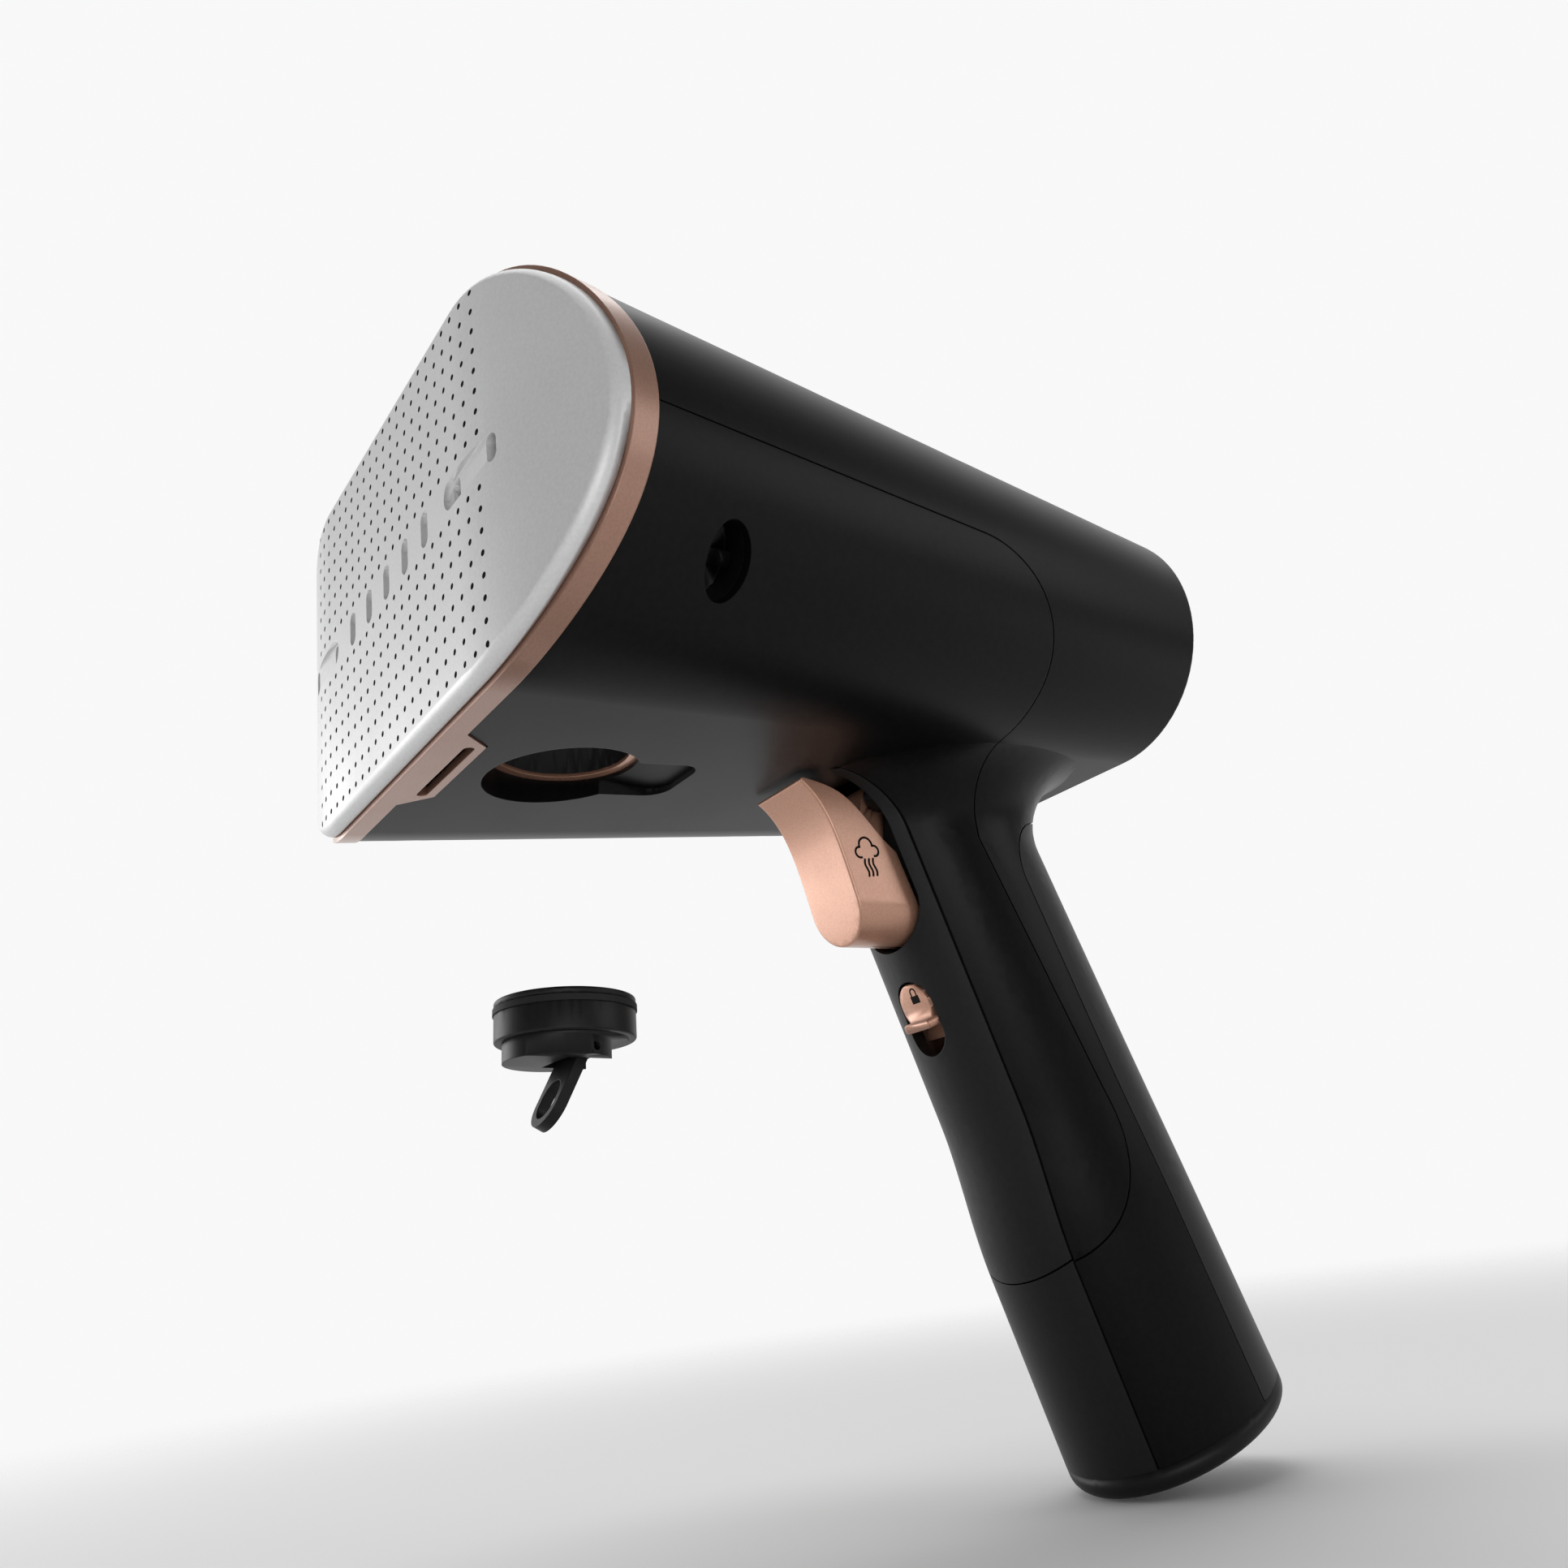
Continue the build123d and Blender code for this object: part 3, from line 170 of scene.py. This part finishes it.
def noise(nodes, links, scale, detail=3.0, stretch=(1.0, 1.0, 1.0)):
    """A noise on the piece's own coordinates, in cells per metre."""
    place = nodes.new("ShaderNodeTexCoord")
    mapping = nodes.new("ShaderNodeMapping")
    mapping.inputs["Scale"].default_value = stretch
    texture = nodes.new("ShaderNodeTexNoise")
    texture.inputs["Scale"].default_value = scale
    texture.inputs["Detail"].default_value = detail
    links.new(place.outputs["Object"], mapping.inputs["Vector"])
    links.new(mapping.outputs["Vector"], texture.inputs["Vector"])
    return texture.outputs["Fac"]


def spread(nodes, links, value, low, high):
    """Maps a noise from its usual span to low and high."""
    span = nodes.new("ShaderNodeMapRange")
    span.inputs["From Min"].default_value = NOISE_LOW
    span.inputs["From Max"].default_value = NOISE_HIGH
    span.inputs["To Min"].default_value = low
    span.inputs["To Max"].default_value = high
    links.new(value, span.inputs["Value"])
    return span.outputs["Result"]


def grain(nodes, links, shader, height, strength, distance, edge=0.0):
    """Raises the surface by a noise, over edges that are eased by a small radius."""
    bump = nodes.new("ShaderNodeBump")
    bump.inputs["Strength"].default_value = strength
    bump.inputs["Distance"].default_value = distance
    if edge:
        eased = nodes.new("ShaderNodeBevel")
        eased.inputs["Radius"].default_value = edge
        links.new(eased.outputs["Normal"], bump.inputs["Normal"])
    links.new(height, bump.inputs["Height"])
    links.new(bump.outputs["Normal"], shader.inputs["Normal"])


def tint(nodes, links, shader, value, dark, light):
    """Colours the surface between two shades by a noise."""
    ramp = nodes.new("ShaderNodeValToRGB")
    for element, position, colour in zip(ramp.color_ramp.elements, (TINT_LOW, TINT_HIGH), (dark, light)):
        element.position = position
        element.color = (*colour, 1.0)
    links.new(value, ramp.inputs["Fac"])
    links.new(ramp.outputs["Color"], shader.inputs["Base Color"])


def moulded_black(name, colour, rough, grain_scale, grain_height, specular):
    """Moulded black plastic: slight wear in the gloss and a fine moulding grain."""
    material, nodes, links, shader = new_material(name, colour, rough)
    shader.inputs["Specular IOR Level"].default_value = specular
    wear = noise(nodes, links, 60.0, 4.0)
    links.new(spread(nodes, links, wear, rough * 0.97, rough * 1.04), shader.inputs["Roughness"])
    shade = tuple(c * 1.5 for c in colour)
    tint(nodes, links, shader, noise(nodes, links, 900.0, 2.0), colour, shade)
    moulding = noise(nodes, links, grain_scale, 2.0)
    grain(nodes, links, shader, moulding, 0.15, grain_height, PLASTIC_EDGE)
    return material


def coated_plate():
    """Ceramic-coated plate: pale grey, with a faint fleck and cloudy sheen."""
    material, nodes, links, shader = new_material("coated_plate", (0.65, 0.65, 0.655), 0.44, 0.3)
    shader.inputs["Specular IOR Level"].default_value = 0.3
    cloud = noise(nodes, links, 45.0, 5.0)
    links.new(spread(nodes, links, cloud, 0.40, 0.48), shader.inputs["Roughness"])
    fleck = noise(nodes, links, 1800.0, 3.0)
    tint(nodes, links, shader, fleck, (0.63, 0.63, 0.635), (0.67, 0.67, 0.675))
    grain(nodes, links, shader, noise(nodes, links, 2500.0, 2.0), 0.06, 0.05 * MM)
    return material


def painted_shade_hole_lining():
    """Painted shade: a near-black lining on the steam holes' walls, in place of the shade inside them.
    """
    material, nodes, links, shader = new_material("painted_shade_hole_lining", (0.01, 0.01, 0.01), 0.7)
    # A random tone across the painted-shade lining.
    lining_tone = noise(nodes, links, 3000.0, 3.0)
    tint(nodes, links, shader, lining_tone, (0.006, 0.006, 0.006), (0.016, 0.016, 0.016))
    return material


def rose_metal(name, rough, deep=(0.50, 0.262, 0.178), pale=(0.56, 0.296, 0.202)):
    """Rose-gold plating over a fine blasted surface, under a clear coat."""
    material, nodes, links, shader = new_material(name, deep, rough, 0.55)
    shader.inputs["Coat Weight"].default_value = 0.6
    shader.inputs["Coat Roughness"].default_value = 0.25
    blast = noise(nodes, links, 2600.0, 2.0)
    wear = noise(nodes, links, 80.0, 4.0)
    links.new(spread(nodes, links, wear, rough * 0.9, rough * 1.15), shader.inputs["Roughness"])
    tint(nodes, links, shader, blast, deep, pale)
    grain(nodes, links, shader, blast, 0.08, 0.03 * MM, METAL_EDGE)
    return material


def bare_metal(name, colour, rough, stretch=(1.0, 1.0, 1.0)):
    """Bare metal with marks that can be drawn out along one way."""
    material, nodes, links, shader = new_material(name, colour, rough, 1.0)
    marks = noise(nodes, links, 700.0, 3.0, stretch)
    links.new(spread(nodes, links, marks, rough * 0.8, rough * 1.25), shader.inputs["Roughness"])
    tint(nodes, links, shader, marks, tuple(c * 0.9 for c in colour), colour)
    grain(nodes, links, shader, marks, 0.1, 0.05 * MM)
    return material


def soft_rubber(name, colour, rough):
    """Rubber, silicone or ceramic with a dull, cloudy surface."""
    material, nodes, links, shader = new_material(name, colour, rough)
    shader.inputs["Specular IOR Level"].default_value = 0.3
    cloud = noise(nodes, links, 150.0, 4.0)
    links.new(spread(nodes, links, cloud, rough * 0.9, rough * 1.1), shader.inputs["Roughness"])
    tint(nodes, links, shader, cloud, tuple(c * 0.85 for c in colour), colour)
    grain(nodes, links, shader, noise(nodes, links, 1200.0, 2.0), 0.2, 0.05 * MM)
    return material


def dark_print():
    """Dark ink of the printed icons, worn a little thin."""
    material, nodes, links, shader = new_material("dark_print", (0.006, 0.004, 0.003), 0.7)
    shader.inputs["Specular IOR Level"].default_value = 0.1
    worn = noise(nodes, links, 2200.0, 4.0)
    tint(nodes, links, shader, worn, (0.005, 0.0035, 0.003), (0.009, 0.006, 0.005))
    links.new(spread(nodes, links, worn, 0.62, 0.78), shader.inputs["Roughness"])
    return material


FINISH = {
    "plate_metal": coated_plate(),
    "rose_gold": rose_metal("rose_metal", 0.36),
    "gloss_black": moulded_black("gloss_black", (0.0028, 0.0028, 0.003), 0.34, 300.0, 0.01 * MM, 0.11),
    "satin_black": moulded_black("satin_black", (0.0035, 0.0035, 0.0037), 0.44, 1500.0, 0.03 * MM, 0.27),
    "dark_brown": moulded_black("dark_brown", (0.03, 0.012, 0.008), 0.45, 1500.0, 0.03 * MM, 0.3),
    "black_rubber": soft_rubber("black_rubber", (0.012, 0.012, 0.012), 0.7),
    "silicone": soft_rubber("silicone", (0.55, 0.55, 0.53), 0.6),
    "cast_aluminium": bare_metal("cast_aluminium", (0.55, 0.55, 0.56), 0.5),
    "steel": bare_metal("steel", (0.6, 0.6, 0.61), 0.3, (0.05, 1.0, 1.0)),
    "ceramic_white": soft_rubber("ceramic_white", (0.75, 0.74, 0.70), 0.55),
    "copper_ring": rose_metal("copper_ring", 0.25),
}
# Painted shade: the trim ring gets a darker copy of the rose metal, for the weaker light on its side.
TRIM_PAINTED_SHADE_ROSE = rose_metal("trim_painted_shade_rose", 0.34, (0.31, 0.168, 0.118), (0.35, 0.19, 0.134))
FINISH_OF = {"trim_ring": TRIM_PAINTED_SHADE_ROSE}
# Painted shade lining for the steam holes' walls.
PAINTED_SHADE_HOLE_LINING = painted_shade_hole_lining()
DARK_PRINT = dark_print()
SLOT_OF = {s["node"]: s["material_slot"] for s in frame["record"]["subparts"]}
BODY_OF = {n: b for b, ns in frame["record"]["behaviour"]["bodies"].items() for n in ns}


# Pieces from the solids

def merged_copy(node):
    """An object with a merged copy of a CAD node's mesh and the node's finish."""
    mesh = frame["nodes"][node].data.copy()
    mesh.name = node + "_finish"
    bm = bmesh.new()
    bm.from_mesh(mesh)
    bmesh.ops.remove_doubles(bm, verts=bm.verts, dist=MERGE_DISTANCE)
    bm.to_mesh(mesh)
    bm.free()
    mesh.materials.clear()
    mesh.materials.append(FINISH_OF.get(node, FINISH[SLOT_OF[node]]))
    piece = bpy.data.objects.new(node + "_finish", mesh)
    bpy.context.scene.collection.objects.link(piece)
    return piece


def baked(piece):
    """Turns what the piece's modifiers make into its plain mesh."""
    bpy.context.view_layer.update()
    seen = piece.evaluated_get(bpy.context.evaluated_depsgraph_get())
    mesh = bpy.data.meshes.new_from_object(seen)
    piece.modifiers.clear()
    piece.data = mesh
    mesh.name = piece.name


def exact_normals(mesh, rule):
    """Sets the normals that the rule gives, and keeps the others."""
    normals = [corner.vector.copy() for corner in mesh.corner_normals]
    for face in mesh.polygons:
        for loop in face.loop_indices:
            exact = rule(mesh.vertices[mesh.loops[loop].vertex_index].co, face.normal)
            if exact is not None:
                normals[loop] = exact
    mesh.normals_split_custom_set(normals)


def plate_normal(place, facing):
    """The plate's front face: flat, then bent round an axis behind it."""
    if facing.y > -FACES_FRONT:
        return None
    over = abs(place.x) - PLATE_FLAT_HALF
    if over <= 0:
        return Vector((0, -1, 0)) if abs(place.y) < ON_SURFACE else None
    side = math.copysign(1.0, place.x)
    arm = Vector((side * over, place.y - PLATE_BEND_R, 0))
    return arm.normalized() if abs(arm.length - PLATE_BEND_R) < ON_BEND else None


def head_normal(place, facing):
    """The head's tapered stadium, for faces that lie along it."""
    share = place.y / HEAD_LENGTH
    half_h = FRONT_HALF_H + (REAR_HALF_H - FRONT_HALF_H) * share
    half_w = FRONT_HALF_W + (REAR_HALF_W - FRONT_HALF_W) * share
    slope_h = (REAR_HALF_H - FRONT_HALF_H) / HEAD_LENGTH
    slope_c = (REAR_HALF_W - FRONT_HALF_W) / HEAD_LENGTH - slope_h
    over = max(abs(place.x) - (half_w - half_h), 0.0)
    radius = math.hypot(over, place.z)
    if abs(radius - half_h) > ON_HEAD:
        return None
    side = math.copysign(1.0, place.x)
    out = Vector((side * over, -over * slope_c - radius * slope_h, place.z)).normalized()
    return out if out.dot(facing) > FOLLOWS_HEAD else None


def shell_normal(place, facing):
    """The lower shell: the head's surface, and the round wall of the scale port."""
    arm = place - PORT_MIDDLE
    arm -= PORT_AXIS * arm.dot(PORT_AXIS)
    inward = -arm.normalized()
    if abs(arm.length - PORT_R) < ON_SURFACE and inward.dot(facing) > FOLLOWS_PORT:
        return inward
    return head_normal(place, facing)


def trigger_normal(place, facing):
    """The trigger's flat cheeks and the round end below them."""
    if abs(facing.y) > FACES_SIDE:
        return None
    arm = Vector((place.x, 0, min(place.z - TRIGGER_ROUND_Z, 0.0)))
    return arm.normalized() if abs(arm.length - CHEEK_X) < ON_SURFACE else None


NORMAL_OF = {"soleplate": plate_normal, "trim_ring": head_normal, "top_cover": head_normal,
             "lower_shell": shell_normal, "trigger": trigger_normal}


def dressed(node, piece):
    """Shades a piece, and lets it stand for its CAD node on the node's body."""
    piece.data.shade_smooth()
    piece.data.set_sharp_from_angle(angle=SHARP_ANGLE)
    evened = piece.modifiers.new("flat_faces_first", "WEIGHTED_NORMAL")
    evened.keep_sharp = True
    baked(piece)
    if node in NORMAL_OF:
        exact_normals(piece.data, NORMAL_OF[node])
    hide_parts(node)
    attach(piece, BODY_OF[node])


# Steam holes

def steam_hole_grid():
    """A node tree that makes the plate's two bands of steam holes as cutters."""
    tree = bpy.data.node_groups.new("steam_hole_grid", "GeometryNodeTree")
    sockets = tree.interface
    sockets.new_socket("Geometry", in_out="OUTPUT", socket_type="NodeSocketGeometry")
    for name, kind in (("Pitch", "Float"), ("Columns", "Int"), ("Rows", "Int"), ("First row", "Float"),
                       ("Hole radius", "Float"), ("Hole sides", "Int"), ("Hole depth", "Float"),
                       ("Wall", "Material")):
        sockets.new_socket(name, in_out="INPUT", socket_type="NodeSocket" + kind)
    nodes, links = tree.nodes, tree.links
    entry = nodes.new("NodeGroupInput")
    result = nodes.new("NodeGroupOutput")

    def worked_out(kind, first, second):
        """Two values added, subtracted or multiplied."""
        node = nodes.new("ShaderNodeMath")
        node.operation = kind
        for socket, value in zip(node.inputs, (first, second)):
            if isinstance(value, float):
                socket.default_value = value
            else:
                links.new(value, socket)
        return node.outputs["Value"]

    def span(count):
        """The length of a row of holes, from middle to middle."""
        return worked_out("MULTIPLY", entry.outputs["Pitch"], worked_out("SUBTRACT", count, 1.0))

    def laid_down(geometry):
        """Turns what lies in X and Y into the plate's X and Z."""
        turned = nodes.new("GeometryNodeTransform")
        turned.inputs["Rotation"].default_value = (math.radians(90), 0, 0)
        links.new(geometry, turned.inputs["Geometry"])
        return turned

    span_x = span(entry.outputs["Columns"])
    span_z = span(entry.outputs["Rows"])
    middle = worked_out("ADD", entry.outputs["First row"], worked_out("MULTIPLY", span_z, 0.5))
    grid = nodes.new("GeometryNodeMeshGrid")
    links.new(span_x, grid.inputs["Size X"])
    links.new(span_z, grid.inputs["Size Y"])
    links.new(entry.outputs["Columns"], grid.inputs["Vertices X"])
    links.new(entry.outputs["Rows"], grid.inputs["Vertices Y"])
    bands = nodes.new("GeometryNodeJoinGeometry")
    for sign in (1.0, -1.0):
        offset = nodes.new("ShaderNodeCombineXYZ")
        links.new(worked_out("MULTIPLY", middle, sign), offset.inputs["Z"])
        band = laid_down(grid.outputs["Mesh"])
        links.new(offset.outputs["Vector"], band.inputs["Translation"])
        links.new(band.outputs["Geometry"], bands.inputs["Geometry"])
    drill = nodes.new("GeometryNodeMeshCylinder")
    links.new(entry.outputs["Hole sides"], drill.inputs["Vertices"])
    links.new(entry.outputs["Hole radius"], drill.inputs["Radius"])
    links.new(entry.outputs["Hole depth"], drill.inputs["Depth"])
    holes = nodes.new("GeometryNodeInstanceOnPoints")
    links.new(bands.outputs["Geometry"], holes.inputs["Points"])
    links.new(laid_down(drill.outputs["Mesh"]).outputs["Geometry"], holes.inputs["Instance"])
    real = nodes.new("GeometryNodeRealizeInstances")
    links.new(holes.outputs["Instances"], real.inputs["Geometry"])
    # The cutters carry the painted-shade lining, and the cut hands it on to the hole walls.
    painted = nodes.new("GeometryNodeSetMaterial")
    links.new(real.outputs["Geometry"], painted.inputs["Geometry"])
    links.new(entry.outputs["Wall"], painted.inputs["Material"])
    links.new(painted.outputs["Geometry"], result.inputs["Geometry"])
    return tree


def steam_hole_cutters():
    """The cutters of all steam holes, as one plain mesh."""
    tree = steam_hole_grid()
    cutters = bpy.data.objects.new("steam_hole_cutters", bpy.data.meshes.new("steam_hole_cutters"))
    bpy.context.scene.collection.objects.link(cutters)
    grid = cutters.modifiers.new("steam_hole_grid", "NODES")
    grid.node_group = tree
    sizes = {"Pitch": HOLE_PITCH, "Columns": HOLE_COLUMNS, "Rows": HOLE_ROWS,
             "First row": HOLE_FIRST_ROW, "Hole radius": HOLE_R, "Hole sides": HOLE_SIDES,
             "Hole depth": HOLE_DEPTH, "Wall": PAINTED_SHADE_HOLE_LINING}
    for socket in tree.interface.items_tree:
        if socket.item_type == "SOCKET" and socket.in_out == "INPUT":
            grid[socket.identifier] = sizes[socket.name]
    baked(cutters)
    return cutters


def pierced_plate():
    """The soleplate with its steam holes cut through the face."""
    plate = merged_copy("soleplate")
    cutters = steam_hole_cutters()
    cut = plate.modifiers.new("steam_holes", "BOOLEAN")
    cut.operation = "DIFFERENCE"
    cut.solver = "EXACT"
    # The hole walls take the cutters' painted-shade lining.
    cut.material_mode = "TRANSFER"
    cut.object = cutters
    baked(plate)
    bpy.data.objects.remove(cutters)
    return plate


# Printed icons

def ribbon(bm, path, width, space):
    """A flat stroke of ink along a path in the icon's plane, closed all round."""
    section = ((1, -PRINT_SINK), (-1, -PRINT_SINK), (-1, PRINT_HEIGHT), (1, PRINT_HEIGHT))
    rings = []
    for i, (x, y) in enumerate(path):
        before = path[max(i - 1, 0)]
        after = path[min(i + 1, len(path) - 1)]
        along = Vector((after[0] - before[0], after[1] - before[1])).normalized()
        off = Vector((-along.y, along.x)) * width / 2
        rings.append([bm.verts.new(space @ Vector((x + k * off.x, y + k * off.y, z)))
                      for k, z in section])
    for low, high in zip(rings, rings[1:]):
        for k in range(len(section)):
            after_k = (k + 1) % len(section)
            bm.faces.new((low[k], low[after_k], high[after_k], high[k]))
    bm.faces.new(rings[0][::-1])
    bm.faces.new(rings[-1])


def arc(x, y, radius, start, end, steps):
    """Points on an arc, in degrees."""
    turns = [math.radians(start + (end - start) * i / steps) for i in range(steps + 1)]
    return [(x + radius * math.cos(t), y + radius * math.sin(t)) for t in turns]


def icon_plane(place, right, up):
    """The icon's plane: X to the right, Y up and Z out of the surface."""
    return Matrix.Translation(place) @ Matrix((right, up, right.cross(up))).transposed().to_4x4()


def printed_icon(name, strokes, width, space, body):
    """An icon of several strokes, riding on a body."""
    bm = bmesh.new()
    for path in strokes:
        ribbon(bm, [(x * MM, y * MM) for x, y in path], width, space)
    bmesh.ops.recalc_face_normals(bm, faces=bm.faces)
    mesh = bpy.data.meshes.new(name)
    bm.to_mesh(mesh)
    bm.free()
    mesh.materials.append(DARK_PRINT)
    piece = bpy.data.objects.new(name, mesh)
    bpy.context.scene.collection.objects.link(piece)
    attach(piece, body)


def steam_icon():
    """A small cloud over three wisps, on the trigger's cheek."""
    strokes = [arc(0.0, 2.0, CLOUD_TOP_R, 195, -15, 20),
               arc(-1.75, 0.75, CLOUD_SIDE_R, 75, 290, 18),
               arc(1.75, 0.75, CLOUD_SIDE_R, 105, -110, 18)]
    for x in (-1.0, 0.0, 1.0):
        strokes.append([(x + WISP_SWAY * math.sin(i * WISP_TURN), WISP_FOOT + i * WISP_STEP)
                        for i in range(WISP_POINTS)])
    right = Vector((0, math.cos(STEAM_ICON_LEAN), math.sin(STEAM_ICON_LEAN)))
    up = Vector((0, -math.sin(STEAM_ICON_LEAN), math.cos(STEAM_ICON_LEAN)))
    printed_icon("steam_icon", strokes, PRINT_WIDTH, icon_plane(STEAM_ICON_PLACE, right, up), "trigger")


def lock_icon():
    """A small closed padlock on the slider's pad."""
    bow = arc(0.0, SHACKLE_TOP, SHACKLE_R, 180, 0, 12)
    shackle = [(-SHACKLE_R, SHACKLE_FOOT)] + bow + [(SHACKLE_R, SHACKLE_FOOT)]
    case = [[(-CASE_HALF_W, y), (CASE_HALF_W, y)] for y in CASE_LINES]
    up = Vector((0, -math.sin(HANDLE_LEAN), math.cos(HANDLE_LEAN)))
    space = icon_plane(LOCK_ICON_PLACE, Vector((1, 0, 0)), up)
    printed_icon("lock_icon", [shackle] + case, LOCK_PRINT_WIDTH, space, "lock")


# Studio

def studio_floor():
    """A pale floor round the foot that fades into the pale surroundings."""
    middle = (*FOOT_PLACE, cad_low.z - FLOOR_GAP)
    material, nodes, links, shader = new_material("studio_paper", (FLOOR_SHADE,) * 3, 0.9)
    shader.inputs["Specular IOR Level"].default_value = 0.0
    place = nodes.new("ShaderNodeTexCoord")
    from_foot = nodes.new("ShaderNodeVectorMath")
    from_foot.operation = "DISTANCE"
    from_foot.inputs[1].default_value = middle
    links.new(place.outputs["Object"], from_foot.inputs[0])
    fade = nodes.new("ShaderNodeMapRange")
    fade.interpolation_type = "SMOOTHSTEP"
    fade.inputs["From Min"].default_value = FADE_START
    fade.inputs["From Max"].default_value = FADE_END
    links.new(from_foot.outputs["Value"], fade.inputs["Value"])
    clear = nodes.new("ShaderNodeBsdfTransparent")
    mixed = nodes.new("ShaderNodeMixShader")
    links.new(fade.outputs["Result"], mixed.inputs["Fac"])
    links.new(shader.outputs["BSDF"], mixed.inputs[1])
    links.new(clear.outputs["BSDF"], mixed.inputs[2])
    links.new(mixed.outputs["Shader"], nodes["Material Output"].inputs["Surface"])
    bm = bmesh.new()
    bmesh.ops.create_circle(bm, cap_ends=True, segments=FLOOR_SIDES, radius=FLOOR_R)
    bmesh.ops.translate(bm, verts=bm.verts, vec=middle)
    mesh = bpy.data.meshes.new("studio_floor")
    bm.to_mesh(mesh)
    bm.free()
    mesh.materials.append(material)
    floor = bpy.data.objects.new("studio_floor", mesh)
    bpy.context.scene.collection.objects.link(floor)


def soft_box(name, place, aim, width, height, level):
    """A soft rectangular lamp of a given brightness."""
    lamp = bpy.data.lights.new(name, "AREA")
    lamp.shape = "RECTANGLE"
    lamp.size = width
    lamp.size_y = height
    lamp.energy = level * math.pi * width * height
    holder = bpy.data.objects.new(name, lamp)
    holder.location = place
    holder.rotation_mode = "QUATERNION"
    holder.rotation_quaternion = (Vector(aim) - Vector(place)).to_track_quat("-Z", "Y")
    holder.visible_camera = False
    bpy.context.scene.collection.objects.link(holder)


def studio_lamps():
    """A key before the plate, a low lamp on the viewer's side, a fill and a lamp overhead."""
    soft_box("key", (-1.26, -0.73, 0.2), (0, 0.05, -0.03), width=1.0, height=0.7, level=3.8)
    soft_box("viewer_side", (0.85, -0.3, -0.06), (0, 0.11, -0.08), width=0.6, height=0.2, level=4.6)
    soft_box("side_fill", (0.88, 0.93, 0.34), (0.03, 0.07, -0.03), width=0.7, height=0.55, level=1.7)
    soft_box("overhead", (-0.2, 0.1, 1.7), (0, 0.05, 0), width=1.4, height=1.4, level=1.7)


def pale_world():
    """Surroundings that are bright behind and below the object, and dimmer on the viewer's side."""
    world = bpy.data.worlds.new("studio")
    world.use_nodes = True
    nodes, links = world.node_tree.nodes, world.node_tree.links
    place = nodes.new("ShaderNodeTexCoord")

    def toward(axis, low, high):
        """Rises from 0 to 1 as the direction turns towards an axis, between two cosines."""
        turned = nodes.new("ShaderNodeVectorMath")
        turned.operation = "DOT_PRODUCT"
        turned.inputs[1].default_value = axis
        links.new(place.outputs["Generated"], turned.inputs[0])
        share = nodes.new("ShaderNodeMapRange")
        share.interpolation_type = "SMOOTHSTEP"
        share.inputs["From Min"].default_value = low
        share.inputs["From Max"].default_value = high
        links.new(turned.outputs["Value"], share.inputs["Value"])
        return share.outputs["Result"]

    def brightened(level, share):
        """Blends a level into the bright one."""
        mixed = nodes.new("ShaderNodeMix")
        links.new(share, mixed.inputs["Factor"])
        if isinstance(level, float):
            mixed.inputs["A"].default_value = level
        else:
            links.new(level, mixed.inputs["A"])
        mixed.inputs["B"].default_value = BRIGHT_SIDE
        return mixed.outputs["Result"]

    below = toward(Vector((0, 0, -1)), -0.04, 0.12)
    behind = toward(-CAMERA_BACK, 0.40, 0.755)
    level = brightened(brightened(DIM_SIDE, below), behind)
    links.new(level, nodes["Background"].inputs["Strength"])
    nodes["Background"].inputs["Color"].default_value = (1, 1, 1, 1)
    bpy.context.scene.world = world


def photo_camera():
    """The photograph's camera."""
    lens = bpy.data.cameras.new("photo_camera")
    lens.lens = CAMERA_LENS
    lens.sensor_width = CAMERA_SENSOR
    lens.clip_start = CAMERA_NEAR
    lens.clip_end = CAMERA_FAR
    camera = bpy.data.objects.new("photo_camera", lens)
    turn = Matrix((CAMERA_RIGHT, CAMERA_UP, CAMERA_BACK)).transposed().to_4x4()
    camera.matrix_world = Matrix.Translation(CAMERA_PLACE) @ turn
    bpy.context.scene.collection.objects.link(camera)
    bpy.context.scene.camera = camera


for node_name in frame["nodes"]:
    dressed(node_name, pierced_plate() if node_name == "soleplate" else merged_copy(node_name))
steam_icon()
lock_icon()
studio_floor()
pale_world()
studio_lamps()
photo_camera()
bpy.context.scene.view_settings.view_transform = "Standard"
